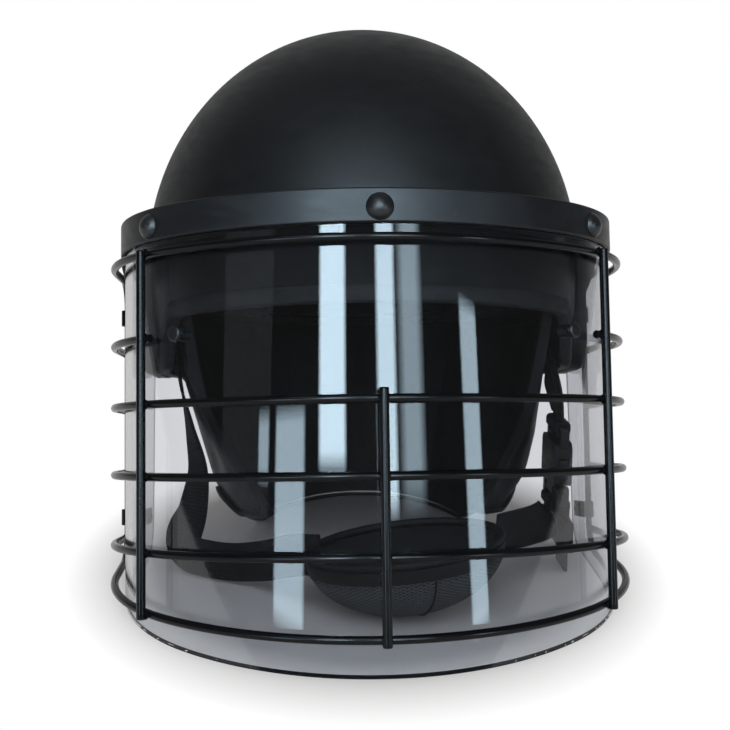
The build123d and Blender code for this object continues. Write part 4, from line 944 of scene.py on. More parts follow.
def padding(
    name: str, patches: list[Patch], finish: Finish, node: str, move: Drawing = Drawing.UPRIGHT
) -> Thing:
    """A thin quilted piece on the helmet that stands for a node.

    Args:
        name: name of the piece.
        patches: its surfaces.
        finish: its material.
        node: node that it stands for.
        move: drawing that the points belong to.

    Returns:
        The object.
    """
    made = piece(name, patches, [finish], (node,), move=move, sharp=60)
    return made


def smoothed(node: str, finish: Finish, edge: float = 0.0, body: str = HELMET) -> Thing:
    """A rigid node as one smooth-shaded mesh, with its sharp edges broken by a small bevel.

    Args:
        node: name of the node.
        finish: its material.
        edge: width of the bevel in millimetres, none where it is zero.
        body: body that it moves with.

    Returns:
        The new object, which stands for the node.
    """
    sharp = 28.0
    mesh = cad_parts[node].data.copy()
    mesh.name = node + "_smooth"
    mesh.materials.clear()
    tidied(mesh, 2e-6, False, sharp, [finish])
    made = into_scene(node + "_finished", mesh)
    if edge:
        bevel = made.modifiers.new("broken_edges", "BEVEL")
        bevel.width = edge * MM
        bevel.segments = 2
        bevel.limit_method = "ANGLE"
        bevel.angle_limit = math.radians(sharp + 10)
        bevel.harden_normals = True
    return settle(made, finish, (node,), body)


# The shell and what is fixed to it


@dataclass(frozen=True)
class DomeForm:
    """The shell's form: two quarter ellipses turned about the upright axis, narrower across."""

    half_width: float = 137
    half_length: float = 148
    crown: float = 148
    skirt: float = 220
    centre_y: float = 10
    centre_z: float = 131

    def across_share(self, height: Array, inset: float | Array) -> Array:
        """Share of the full half width at a height: the cosine of the ellipse's angle there."""
        above = (height - self.centre_z) / (self.crown - inset)
        below = (height - self.centre_z) / (self.skirt - inset)
        return np.sqrt(np.clip(1 - np.where(height > self.centre_z, above, below) ** 2, 0, 1))

    def at(self, azimuth: Array, height: Array, inset: float | Array) -> Array:
        """Points of the form drawn in by inset, at azimuths from the right and heights."""
        share = self.across_share(height, inset)
        across = (self.half_width - inset) * share * np.cos(azimuth)
        along = self.centre_y + (self.half_length - inset) * share * np.sin(azimuth)
        return np.stack(np.broadcast_arrays(across, along, height), -1)

    def side_x(self, along: Array, height: Array, inset: float | Array) -> Array:
        """How far out the form is on the right, at a distance along and a height."""
        share = self.across_share(height, inset)
        ahead = (along - self.centre_y) / (self.half_length - inset)
        return (self.half_width - inset) * np.sqrt(np.clip(share**2 - ahead**2, 0, 1))

    def rows(self, azimuth: Array, foot: Array, inset: float, upper: int, lower: int) -> Array:
        """A grid from the crown down to a foot line, evenly spaced in the ellipses' angles.

        Args:
            azimuth: azimuths of the columns.
            foot: height of the foot at each column, below the centre.
            inset: how far the form is drawn in.
            upper: rows above the centre.
            lower: rows below it.

        Returns:
            Points of shape (upper + lower, columns, 3).
        """
        rise = self.centre_z + (self.crown - inset) * np.cos(np.linspace(0, math.pi / 2, upper))
        last = np.arcsin(np.clip((self.centre_z - foot) / (self.skirt - inset), 0, 1))
        turn = np.linspace(0, 1, lower + 1)[1:, None] * last[None]
        drop = self.centre_z - (self.skirt - inset) * np.sin(turn)
        height = np.concatenate([np.broadcast_to(rise[:, None], (upper, len(azimuth))), drop])
        return self.at(azimuth[None], height, inset)


DOME = DomeForm()


@dataclass
class ShellParts:
    """The shell, its edge trim, the ear pads and the brow seal."""

    wall: float = 4
    trim_wall: float = 1.5
    trim_height: float = 8
    rim_heights: Triple = (91, 63, 46)
    rim_marks: tuple[float, float, float, float] = (-66, -40, 62, 84)
    rim_bend: float = 14
    pad_front: float = -30
    pad_rear: float = 52
    pad_top: float = 139
    pad_foot: float = 61
    pad_face: float = 139.3
    pad_corner: float = 20
    pad_round: float = 3
    seat_gap: float = 0.05
    seal_inset: float = 17
    seal_low: float = 130
    seal_end: float = -62

    def rim_height(self, along: Array) -> Array:
        """Height of the rim at a distance along: level runs joined by slopes with round bends."""
        brow, ear, nape = self.rim_heights
        brow_end, ear_front, ear_rear, nape_start = self.rim_marks
        ahead = [(-200, brow), (brow_end, brow), (ear_front, ear)]
        behind = [(ear_rear, ear), (nape_start, nape), (200, nape)]
        line = rounded_line(ahead + behind, [self.rim_bend] * 4)
        return np.interp(along, line[:, 0], line[:, 1])

    def rim(self, azimuth: Array, inset: float, raise_by: float = 0.0) -> Array:
        """Height of the rim at each azimuth, found by repeating: the form gives y, the rim gives z.

        Args:
            azimuth: the azimuths.
            inset: how far the form is drawn in.
            raise_by: height above the rim that is wanted.

        Returns:
            The heights.
        """
        height = np.full(azimuth.shape, 70.0)
        for _ in range(40):
            height = self.rim_height(DOME.at(azimuth, height, inset)[..., 1]) + raise_by
        return height

    def shell(self) -> Thing:
        """The domed shell: its outer form down to the rim and its inner form back to the crown."""
        azimuth = full_turn(288)
        faces = [DOME.rows(azimuth, self.rim(azimuth, inset), inset, 54, 26) for inset in (0, self.wall)]
        dome = sleeve(np.concatenate([faces[0], faces[1][::-1]]))
        return piece("shell_dome", [dome], [SHELL_COAT], ("shell",))

    def edge_trim(self) -> Thing:
        """Rubber channel on the rim: a rounded U carried round it, its lips pressed on the shell.

        The profile gives depths into the shell's wall and heights above the rim.
        """
        azimuth = full_turn(360)
        out, into, top, wall = -self.trim_wall, self.wall + self.trim_wall, self.trim_height, self.wall
        outer_lip = [(0.2, top), (out * 0.6, top), (out, top - 0.8), (out, top * 0.4), (out, 0.6)]
        foot = [(out * 0.86, -0.5), (out * 0.3, -1.2), (wall / 2, -1.5)]
        foot += [(into - 1.2, -1.2), (into - 0.2, -0.5)]
        inner_lip = [(into, 0.6), (into, top - 0.8), (into - 0.6, top), (wall - 0.2, top)]
        groove = [(wall - 0.3, top - 2), (0.3, top - 2)]
        profile = outer_lip + foot + inner_lip + groove
        rows = [DOME.at(azimuth, self.rim(azimuth, inset, up), inset) for inset, up in profile]
        patch = grid(np.stack(rows), True, True)
        return piece("shell_rim_trim", [patch], [TRIM_RUBBER], ("shell_edge_trim",), sharp=50)

    def ear_pad(self, side: Side) -> Thing:
        """Moulded pad at an ear: a flat face, a round edge, and a wall to the shell.

        Rings of one outline grow from the face's middle to its edge, follow the round edge and the
        wall, and shrink again on the shell's form.
        """
        width, height = self.pad_rear - self.pad_front, self.pad_top - self.pad_foot
        middle = np.array([(self.pad_front + self.pad_rear) / 2, (self.pad_top + self.pad_foot) / 2])
        corner, bend, count = self.pad_corner, self.pad_round, 160
        rings, depths = [], []
        for share in (0.0, 0.15, 0.35, 0.55, 0.75, 0.9):
            rings.append(rounded_rectangle(width, height, corner, count, bend) * share)
            depths.append(np.full(count, self.pad_face))
        for angle in np.linspace(math.pi / 2, 0, 7):
            rings.append(rounded_rectangle(width, height, corner, count, bend * (1 - math.cos(angle))))
            depths.append(np.full(count, self.pad_face - bend * (1 - math.sin(angle))))
        edge = rings[-1]
        for share in (0.25, 0.5, 0.75, 1.0):
            rings.append(edge)
            shell_x = DOME.side_x(*(edge + middle).T, 0.0)
            depths.append((1 - share) * (self.pad_face - bend) + share * (shell_x + self.seat_gap))
        for share in (0.8, 0.5, 0.2, 0.0):
            rings.append(edge * share)
            depths.append(DOME.side_x(*(edge * share + middle).T, 0.0) + self.seat_gap)
        points = np.concatenate([np.stack(depths)[..., None], np.stack(rings) + middle], -1)
        patches, node = side.of([sleeve(points)]), f"pivot_pad_{side.word}"
        return piece(f"ear_pad_{side.word}", patches, [PAD_PLASTIC], (node,), sharp=50)

    def brow_seal(self) -> Thing:
        """Foam strip at the brow, from the plan line drawn in to the shell, with round corners.

        The profile gives distances from the strip's front towards the shell, none where the strip
        reaches the shell, and heights above the strip's foot.
        """
        reach = PLAN.reach_at(self.seal_end, self.seal_inset)
        s = np.linspace(-reach, reach, 160)
        outer = PLAN.at(s, self.seal_inset)
        azimuth = np.arctan2((outer[:, 1] - DOME.centre_y) / DOME.half_length, outer[:, 0] / DOME.half_width)
        front = [(0, 1.2), (0, 6.5), (0, 11.8), (0.4, 12.6), (1.2, 13)]
        back = [(None, 13), (None, 0), (1.2, 0), (0.4, 0.4)]
        rows = []
        for depth, height in front + back:
            z = np.full(len(s), self.seal_low + height)
            wall = DOME.at(azimuth, z, -0.2)[:, :2]
            place = wall if depth is None else outer + unit(wall - outer) * depth
            rows.append(np.concatenate([place, z[:, None]], 1))
        points = np.stack(rows, 1)
        ends = np.broadcast_to(points[[0, -1]].mean(1, keepdims=True), (2, points.shape[1], 3))
        strip = sleeve(np.concatenate([ends[:1], points, ends[1:]]))
        return piece("brow_seal_strip", [strip], [SEAL_FOAM], ("brow_seal",), sharp=50)

    def build(self) -> None:
        """All of the shell's parts."""
        self.shell()
        self.edge_trim()
        for side in Side:
            self.ear_pad(side)
            smoothed(f"pivot_insert_{side.word}", BRASS)
            smoothed(f"pivot_screw_{side.word}", SCREW_COAT, 0.15)
            smoothed(f"friction_washer_{side.word}", WASHER_PLASTIC)
        self.brow_seal()
        for node, edge in (("strap_anchors", 0.2), ("strap_rivets", 0.2), ("snap_studs", 0.3)):
            smoothed(node, SCREW_COAT, edge)


# The visor, its band and the grille


@dataclass(frozen=True)
class PlanLine:
    """The line that grille, visor and band follow in plan: a front arc, two corner arcs, straight sides.

    A place on it is its distance s from the front centre, positive to the right.
    """

    half_width: float = 150.5
    depth: float = 160
    corner: float = 110
    side_start: float = -36

    def numbers(self) -> tuple[float, float, float, float]:
        """Front radius, front centre, corner centre and the angle at which the arcs meet."""
        corner_x = self.half_width - self.corner
        reach = self.side_start + self.depth
        front = (corner_x**2 + reach**2 - self.corner**2) / (2 * (reach - self.corner))
        centre = front - self.depth
        return front, centre, corner_x, math.atan2(corner_x, centre - self.side_start)

    def marks(self) -> tuple[float, float]:
        """Distances from the front centre at which the corner arc starts and ends."""
        front, _, _, meet = self.numbers()
        first = front * meet
        return first, first + self.corner * (math.pi / 2 - meet)

    def corner_at(self, degrees: float) -> float:
        """Distance s at which the corner arc faces that many degrees from straight ahead."""
        return self.marks()[0] + self.corner * (math.radians(degrees) - self.numbers()[3])

    def angle(self, s: Array) -> Array:
        """Angle from straight ahead of the line's outward direction at s."""
        front, _, _, meet = self.numbers()
        first, second = self.marks()
        size = np.abs(s)
        bend = np.where(size < first, size / front, meet + (size - first) / self.corner)
        return np.sign(s) * np.where(size < second, bend, math.pi / 2)

    def at(self, s: Array, inset: float | Array = 0.0) -> Array:
        """Points of shape (..., 2) at s on the line drawn in by inset."""
        front, centre, corner_x, _ = self.numbers()
        first, second = self.marks()
        size, turn = np.abs(s), np.abs(self.angle(s))
        wide, tight, ahead = front - inset, self.corner - inset, size < first
        across = np.where(ahead, wide * np.sin(turn), corner_x + tight * np.sin(turn))
        along = np.where(ahead, centre - wide * np.cos(turn), self.side_start - tight * np.cos(turn))
        along = np.where(size > second, self.side_start + size - second, along)
        return np.stack([np.sign(s) * across, along], -1)

    def outward(self, s: Array) -> Array:
        """Outward unit vectors of shape (..., 3) at s."""
        turn = self.angle(s)
        return np.stack([np.sin(turn), -np.cos(turn), 0 * turn], -1)

    def reach_at(self, along: float | Array, inset: float = 0.0) -> Array:
        """Distance s at which the right side of the line comes to a distance along."""
        s = np.linspace(0, self.marks()[1] + 120, 4000)
        return np.interp(along, self.at(s, inset)[:, 1], s)

    def on(self, s: Array, inset: float | Array, height: Array) -> Array:
        """Points of shape (..., 3) on the line drawn in by inset, at heights."""
        flat = self.at(s, inset)
        return np.concatenate([flat, np.broadcast_to(height, flat.shape[:-1])[..., None]], -1)

    def spot(self, s: float, inset: float, height: float) -> tuple[Array, Array]:
        """One point on the line drawn in by inset, and the outward direction there."""
        return self.on(np.array([s]), inset, height)[0], self.outward(np.array([s]))[0]


PLAN = PlanLine()


@dataclass
class BentSheet:
    """A wall bent along the plan line and cut to a side outline.

    The outline is three curves in the side view: bottom, rear and top. A point of the half sheet is
    the Coons blend of those curves and the front line, in distance s and height.
    """

    outer: float
    inner: float
    outline: Array
    rear_from: int
    rear_to: int
    edge: float
    columns: int
    rows: int
    hem: float = 0.15

    def border(self, draw_in: float, inset: float) -> Array:
        """The half outline in s and height at a depth, its front ends kept on the centre.

        Args:
            draw_in: how far the outline is moved inwards.
            inset: how far the plan line is drawn in.

        Returns:
            Samples of shape (n, 2).
        """
        moved = moved_in(self.outline, draw_in)
        first = int(np.argmax(moved[:, 0] >= inset - PLAN.depth))
        moved[:first, 1] = moved[first, 1]
        s = PLAN.reach_at(moved[:, 0], inset)
        s[0] = s[-1] = 0.0
        return np.stack([s, moved[:, 1]], -1)

    def wall(self, draw_in: float, inset: float) -> Array:
        """The whole sheet's points at a depth, mirrored about the front centre.

        Args:
            draw_in: how far the outline is moved inwards.
            inset: how far the plan line is drawn in.

        Returns:
            Points of shape (rows, 2 * columns - 1, 3).
        """
        line = self.border(draw_in, inset)
        bottom = evenly(line[: self.rear_from + 1], count=self.columns)
        rear = evenly(line[self.rear_from : self.rear_to + 1], count=self.rows)
        top = evenly(line[self.rear_to :][::-1], count=self.columns)
        front = bottom[0] + np.linspace(0, 1, self.rows)[:, None] * (top[0] - bottom[0])
        half = filled_between(bottom, top, front, rear)
        net = np.concatenate([half[:, :0:-1] * [-1, 1], half], 1)
        return PLAN.on(net[..., 0], inset, net[..., 1])

    def patches(self, edge_finish: int) -> list[Patch]:
        """Outer face, inner face, and between them a hem on each face and a rounded edge."""
        round_by = self.edge
        steps = [(round_by + self.hem, 0), (round_by, 0), (round_by * 0.3, round_by * 0.3), (0.0, round_by)]
        outer = [self.wall(draw_in, self.outer + deep) for draw_in, deep in steps]
        inner = [self.wall(draw_in, self.inner - deep) for draw_in, deep in reversed(steps)]
        return walled(outer + inner, edge_finish)


@dataclass
class VisorParts:
    """The clear visor, its carrier band, the backing strip, screws, bushes and studs."""

    visor_faces: tuple[float, float] = (6, 10)
    band_faces: tuple[float, float] = (3.5, 6)
    rear_y: float = 32
    rear_corner: float = 26
    pivot_y: float = 24
    pivot_z: float = 125
    ear_radius: float = 20
    top_z: float = 143
    band_low: float = 128
    band_high: float = 146
    ear_low: float = 109
    ear_start: float = -54
    ear_full: float = -12
    ear_bend: float = 24
    screw_z: float = 136
    screw_angle: float = 51
    head_radius: float = 7.2
    head_height: float = 4.4
    shank_radius: float = 3
    shank_end: float = -11.6

    def ear_corner(self, line: Array, back: float, z: float) -> int:
        """Number of the outline's sample in the middle of an ear's bend, back from its corner."""
        corner = [self.pivot_y + self.ear_radius - back, z]
        return int(np.argmin(np.linalg.norm(line - corner, axis=1)))

    def visor(self) -> Thing:
        """Clear sheet: its lower edge follows the table, its rear edge rises to the ear."""
        front, ear = self.visor_faces[0] - PLAN.depth, self.pivot_y + self.ear_radius
        corners = [
            (front, float(STANCE.table(front))),
            (self.rear_y, float(STANCE.table(self.rear_y))),
            (ear, self.pivot_z - self.ear_radius),
            (ear, self.top_z),
            (front, self.top_z),
        ]
        line = rounded_line(corners, [self.rear_corner, self.ear_radius / 2, self.ear_radius - 0.1], 0.4)
        first = int(np.argmin(np.abs(line[:, 0] - (self.rear_y - 10)) + 9 * (line[:, 1] > 0)))
        last = self.ear_corner(line, 5.8, self.top_z - 5.8)
        sheet = BentSheet(*self.visor_faces, line, first, last, 0.5, 150, 110)
        made = piece("visor_sheet", sheet.patches(1), [VISOR_FACE, VISOR_EDGE_PAINTED_SHADE], ("visor",), VISOR, sharp=40)
        made.visible_shadow = False
        return made

    def band(self) -> Thing:
        """Brow band with bevelled edges, widened into an ear at each end."""
        front, ear = self.band_faces[0] - PLAN.depth, self.pivot_y + self.ear_radius
        corners = [
            (front, self.band_low),
            (self.ear_start, self.band_low),
            (self.ear_full, self.ear_low),
            (ear, self.ear_low),
            (ear, self.band_high),
            (front, self.band_high),
        ]
        bends = [self.ear_bend, self.ear_bend, self.ear_radius / 2, self.ear_radius - 0.1]
        line = rounded_line(corners, bends, 0.4)
        first = self.ear_corner(line, 2.9, self.ear_low + 2.9)
        last = self.ear_corner(line, 5.8, self.band_high - 5.8)
        sheet = BentSheet(*self.band_faces, line, first, last, 0.9, 170, 22)
        return piece("brow_band", sheet.patches(0), [BAND_COAT], ("carrier_band",), VISOR, sharp=60)

    def band_screws(self) -> Thing:
        """Three domed screws, each a round cap over a thin flange with a shadow line."""
        head, shank = self.head_radius, self.shank_radius
        radius = (head**2 + self.head_height**2) / (2 * self.head_height)
        turn = np.linspace(0, math.asin((head - 0.35) / radius), 16)
        cap = np.stack([radius * np.sin(turn), self.head_height - radius * (1 - np.cos(turn))], -1)
        flange = [(head - 0.1, 0.35), (head, 0.1), (head, -0.5), (shank, -0.5)]
        profile = np.concatenate([cap, flange + [(shank, self.shank_end), (0, self.shank_end)]])
        s = PLAN.corner_at(self.screw_angle)
        places = [PLAN.spot(place, self.band_faces[0], self.screw_z) for place in (0.0, s, -s)]
        patches = [turned(profile, place, out, 40) for place, out in places]
        return piece("brow_screws", patches, [SCREW_COAT], ("band_screws",), VISOR, sharp=45)

    def build(self) -> None:
        """All of the visor's parts."""
        self.visor()
        self.band()
        self.band_screws()
        for node, finish, edge in (
            ("backing_strip", BAND_COAT, 0.3),
            ("band_nuts", STEEL, 0.3),
            ("visor_studs", SCREW_COAT, 0.0),
            ("stud_nuts", BUCKLE_PLASTIC, 0.3),
            ("ear_bush_left", BRASS, 0.0),
            ("ear_bush_right", BRASS, 0.0),
            ("grille_clips_upper", WIRE_COAT, 0.35),
            ("clip_screws_upper", SCREW_COAT, 0.0),
            ("grille_clips_lower", WIRE_COAT, 0.35),
            ("clip_screws_lower", SCREW_COAT, 0.0),
        ):
            smoothed(node, finish, edge, VISOR)


@dataclass
class GrilleParts:
    """The welded wire grille: an outer frame, three cross wires, two brow wires and three rods."""

    wire: float = 2.25
    rod: float = 2.5
    sunk: float = 0.4
    top_z: float = 120
    brow_z: float = 74.2
    levels: Triple = (38.7, 0.0, -40.2)
    foot_z: float = -80.1
    foot_rise: float = math.radians(9.3)
    rear_y: float = 8
    top_bend: float = 16
    foot_bend: float = 20
    rod_angle: float = 48.5
    rod_top: float = 121.5
    rod_below: float = 2.5
    centre_top: float = 44

    def foot_line(self, along: Array) -> Array:
        """Height of the frame's bottom wire at a distance along."""
        return self.foot_z + (along + PLAN.depth) * math.tan(self.foot_rise)

    def frame_path(self) -> tuple[Array, Array]:
        """Centre line of the closed frame and its outward directions."""
        start, rear = PLAN.side_start, self.rear_y
        feet = [(y, float(self.foot_line(y))) for y in (rear, start)]
        corners = [(start, self.top_z), (rear, self.top_z), *feet]
        side = rounded_line(corners, [self.top_bend, self.foot_bend], 0.4)
        second = PLAN.marks()[1]
        front = np.arange(0, second, 0.4)
        s = np.concatenate([front, second + side[:, 0] - start, front[::-1]])
        foot = self.foot_line(PLAN.at(front[::-1])[:, 1])
        right = np.stack([s, np.concatenate([np.full(len(front), self.top_z), side[:, 1], foot])], -1)
        whole = evenly(np.concatenate([right, (right * [-1, 1])[::-1][1:-1]]), count=860, closed=True)
        return PLAN.on(whole[:, 0], 0.0, whole[:, 1]), PLAN.outward(whole[:, 0])

    def frame_rear(self, z: float) -> float:
        """How far back the frame's centre line is at a height, on its rod or its lower bend."""
        share = 1 / math.tan(math.pi / 4 + self.foot_rise / 2)
        below = float(self.foot_line(self.rear_y)) + self.foot_bend * share - z
        if below <= 0:
            return self.rear_y
        return self.rear_y - self.foot_bend + math.sqrt(self.foot_bend**2 - below**2)

    def coated(self, name: str, patch: Patch, node: str) -> Thing:
        """One wire or rod as a piece that stands for its node."""
        return piece(f"grille_{name}", [patch], [WIRE_COAT], (node,), VISOR, sharp=80)

    def run(self, start: float, end: float, z: float) -> Patch:
        """A wire along the plan line from one distance to another, at a height."""
        s = np.linspace(start, end, max(24, int(abs(end - start) / 1.4)))
        return tube(PLAN.on(s, 0.0, z), PLAN.outward(s), self.wire, 16)

    def upright_rod(self, s: float, top: float) -> tuple[Patch, float]:
        """A rod outside the wires with rounded ends.

        Args:
            s: its distance along the plan line.
            top: height of its top.

        Returns:
            The patch, and the height at which the rod crosses the frame's bottom wire.
        """
        place, out = PLAN.spot(s, self.sunk - self.wire - self.rod, 0.0)
        foot, count = float(self.foot_line(place[1])), 60
        z = np.linspace(foot - self.rod_below, top, count)
        path = np.stack([np.full(count, place[0]), np.full(count, place[1]), z], -1)
        return tube(path, np.broadcast_to(out, (count, 3)), self.rod, 18, round_off=0.8), foot

    def weld(self, s: float, z: float) -> Patch:
        """A flat bead where a rod lies on a wire."""
        centre, out = PLAN.spot(s, 0.3 - self.wire, z)
        return blob(centre, np.array([0.0, 0.0, 1.0]), out, (2.9, 1.3, 3.3))

    def end_weld(self, s: float, z: float) -> Patch:
        """A bead where a wire's end meets the frame's rear rod."""
        centre, out = PLAN.spot(s, 0.0, z)
        return blob(centre, np.array([0.0, 0.0, 1.0]), out, (3.0, 2.6, 2.2))

    def build(self) -> None:
        """All wires, rods and weld beads."""
        path, out = self.frame_path()
        self.coated("outer_frame", tube(path, out, self.wire, 16, closed=True), "grille_frame")
        corner = PLAN.corner_at(self.rod_angle)
        beads = []
        for name, z in zip(("upper", "middle", "lower"), self.levels):
            end = float(PLAN.reach_at(self.frame_rear(z) - self.wire + self.sunk))
            self.coated(f"wire_{name}", self.run(-end, end, z), f"cross_wire_{name}")
            beads += [self.weld(s, z) for s in (-corner, 0.0, corner)]
            beads += [self.end_weld(s, z) for s in (-end, end)]
        end = float(PLAN.reach_at(self.rear_y - self.wire + self.sunk))
        for side in Side:
            sign, word = side.value, side.word
            wire = self.run(sign * (corner - self.rod), sign * end, self.brow_z)
            self.coated(f"brow_wire_{word}", wire, f"brow_wire_{word}")
            rod, foot = self.upright_rod(sign * corner, self.rod_top)
            self.coated(f"front_rod_{word}", rod, f"front_rod_{word}")
            beads += [self.weld(sign * corner, self.brow_z), self.end_weld(sign * end, self.brow_z)]
            beads += [self.weld(sign * corner, z) for z in (self.top_z, foot)]
        rod, foot = self.upright_rod(0.0, self.centre_top)
        self.coated("centre_rod", rod, "centre_rod")
        beads.append(self.weld(0.0, foot))
        piece("grille_welds", beads, [WIRE_COAT], body=VISOR)


# Padding


class Facing(Enum):
    """Where a comfort pad lies, by the axis along which its outline is cut."""

    CROWN = "crown"
    BROW = "brow"
    NAPE = "nape"
    LEFT = "left"
    RIGHT = "right"


def mesh_points(made: Thing) -> Array:
    """Points of an object's mesh, of shape (n, 3)."""
    points = np.zeros(len(made.data.vertices) * 3, np.float32)
    made.data.vertices.foreach_get("co", points)
    return points.reshape(-1, 3)


def inflate(made: Thing, voxel: float, pressure: float, cap: float, frames: int = 20) -> None:
    """Fill a padded piece by a short cloth simulation and keep the result.

    The mesh is remeshed to even cells, blown up without gravity, and each point's travel is held
    to the cap, so the pad keeps its place.

    Args:
        made: the object, closed, at the origin.
        voxel: cell size of the remesh in millimetres.
        pressure: pressure of the air inside.
        cap: longest travel of a point in millimetres.
        frames: number of frames that the simulation runs.
    """
    scene = bpy.context.scene
    remesh = made.modifiers.new("even_cells", "REMESH")
    remesh.mode = "VOXEL"
    remesh.voxel_size = voxel * MM
    apply_modifiers(made)
    rest = mesh_points(made)
    cloth = made.modifiers.new("filling", "CLOTH")
    cloth.settings.use_pressure = True
    cloth.settings.uniform_pressure_force = pressure
    cloth.settings.effector_weights.gravity = 0
    cloth.settings.quality = 6
    cloth.point_cache.frame_start = 1
    cloth.point_cache.frame_end = frames
    for number in range(1, frames + 1):
        scene.frame_set(number)
    apply_modifiers(made)
    scene.frame_set(1)
    travel = mesh_points(made) - rest
    length = np.linalg.norm(travel, axis=1, keepdims=True)
    held = travel * np.minimum(1, cap * MM / np.maximum(length, 1e-9))
    made.data.vertices.foreach_set("co", (rest + held).astype(np.float32).ravel())
    made.data.update()


def apply_modifiers(made: Thing) -> None:
    """Replace an object's mesh by what its modifiers make of it."""
    graph = bpy.context.evaluated_depsgraph_get()
    graph.update()
    mesh = bpy.data.meshes.new_from_object(made.evaluated_get(graph))
    materials = [slot.material for slot in made.material_slots]
    made.modifiers.clear()
    made.data = mesh
    mesh.materials.clear()
    for material in materials:
        mesh.materials.append(material)
    mesh.shade_smooth()


@dataclass
class LinerParts:
    """The impact foam and the five comfort pads on it."""

    foam_inset: float = 4.3
    foam_wall: float = 22
    foam_foot: float = 107
    pad_inset: float = 26.7
    pad_wall: float = 12
    pad_corner: float = 12
    seam_depth: float = 3.6
    seam_share: float = 0.985
    crown_radius: float = 44
    crown_middle: tuple[float, float] = (0.0, 10.0)
    end_size: tuple[float, float] = (144, 40)
    end_middle: tuple[float, float] = (0.0, 130.0)
    side_size: tuple[float, float] = (112, 46)
    side_middle: tuple[float, float] = (10.0, 169.0)

    def foam(self) -> Thing:
        """The foam: outer form down to a level foot with round edges, and inner form back up."""
        count, foot_z = 200, self.foam_foot
        azimuth = full_turn(count)
        outer = DOME.rows(azimuth, np.full(count, foot_z + 2.5), self.foam_inset, 40, 8)
        inner = DOME.rows(azimuth, np.full(count, foot_z + 4.0), self.foam_inset + self.foam_wall, 40, 8)
        rounding = ((0.8, 0.8), (2.5, 0.0), (11, 0.0), (18, 0.0), (20.6, 1.2))
        foot = []
        for inset, rise in rounding:
            foot.append(DOME.at(azimuth, np.full(count, foot_z + rise), self.foam_inset + inset))
        points = np.concatenate([outer, np.stack(foot), inner[::-1]])
        return piece("impact_foam", [sleeve(points)], [LINER_FOAM], ("foam_liner",), sharp=60)

    def pad_plan(self, facing: Facing) -> tuple[Array, Array]:
        """Outline of a pad in the plane it is cut in, and its middle there.

        Args:
            facing: where the pad lies.

        Returns:
            Outline of shape (n, 2) about its own middle, and that middle.
        """
        count = 120
        if facing is Facing.CROWN:
            return self.crown_radius * circle(full_turn(count)), np.array(self.crown_middle)
        if facing in (Facing.BROW, Facing.NAPE):
            return rounded_rectangle(*self.end_size, self.pad_corner, count), np.array(self.end_middle)
        return rounded_rectangle(*self.side_size, self.pad_corner, count), np.array(self.side_middle)

    def on_form(self, facing: Facing, plane: Array, inset: Array) -> Array:
        """Points of the form drawn in by inset, over places in the pad's plane.

        Args:
            facing: where the pad lies.
            plane: places in the plane that it is cut in.
            inset: how far the form is drawn in.

        Returns:
            The points, from the ellipsoid's equation solved for the axis out of that plane.
        """
        a, b = plane[..., 0], plane[..., 1]
        width, length, crown = DOME.half_width - inset, DOME.half_length - inset, DOME.crown - inset
        if facing is Facing.CROWN:
            rise = crown * np.sqrt(np.clip(1 - (a / width) ** 2 - ((b - DOME.centre_y) / length) ** 2, 0, 1))
            return np.stack([a, b, DOME.centre_z + rise], -1)
        up = b - DOME.centre_z
        drop = np.where(up > 0, up / crown, up / (DOME.skirt - inset))
        if facing in (Facing.BROW, Facing.NAPE):
            reach = length * np.sqrt(np.clip(1 - drop**2 - (a / width) ** 2, 0, 1))
            return np.stack([a, DOME.centre_y + (-reach if facing is Facing.BROW else reach), b], -1)
        reach = width * np.sqrt(np.clip(1 - drop**2 - ((a - DOME.centre_y) / length) ** 2, 0, 1))
        return np.stack([reach if facing is Facing.RIGHT else -reach, a, b], -1)

    def pad(self, facing: Facing, node: str) -> Thing:
        """A comfort pad: two faces over its outline that meet in a seam, crowned towards the head.

        The thickness over the pad is the wall times the root of (1 - share**5), where share runs
        from the middle to the outline.

        Args:
            facing: where the pad lies.
            node: node that it stands for.

        Returns:
            The object.
        """
        outline, middle = self.pad_plan(facing)
        rounding = 0.8 + 0.2 * np.sin(np.linspace(0, math.pi / 2, 9))[1:]
        share = np.concatenate([np.linspace(0, 0.8, 9), rounding])
        plane = middle + share[:, None, None] * (outline * self.seam_share)[None]
        crowned = np.sqrt(np.clip(1 - share**5, 0, 1))[:, None]
        back = self.pad_inset + self.seam_depth * (1 - crowned) + 0 * plane[..., 0]
        face = self.pad_inset + self.seam_depth + (self.pad_wall - 4.6) * crowned + 0 * plane[..., 0]
        points = np.concatenate([self.on_form(facing, plane, back), self.on_form(facing, plane, face)[::-1]])
        made = to_object(f"comfort_pad_{facing.value}", [sleeve(points)], Drawing.UPRIGHT, [PAD_CLOTH], 60)
        inflate(made, 4.0, 4.0, 1.4)
        smooth = made.modifiers.new("soft", "SUBSURF")
        smooth.levels = smooth.render_levels = 1
        apply_modifiers(made)
        settle(made, PAD_CLOTH, (node,), HELMET)
        return made

    def seam(self, facing: Facing) -> Thing:
        """The bound edge of a comfort pad, a thin cord round its outline."""
        outline, middle = self.pad_plan(facing)
        plane = np.concatenate([middle[None], middle + outline * self.seam_share])
        places = self.on_form(facing, plane, np.full(len(plane), self.pad_inset + self.seam_depth - 0.2))
        cord = tube(places[1:], unit(places[1:] - places[0]), 1.1, 8, closed=True)
        return piece(f"comfort_pad_{facing.value}_seam", [cord], [PIPING_COVER])

    def build(self) -> None:
        """The foam and every pad."""
        self.foam()
        for facing in Facing:
            beside = facing in (Facing.LEFT, Facing.RIGHT)
            self.pad(facing, f"side_pad_{facing.value}" if beside else f"{facing.value}_pad")
            self.seam(facing)


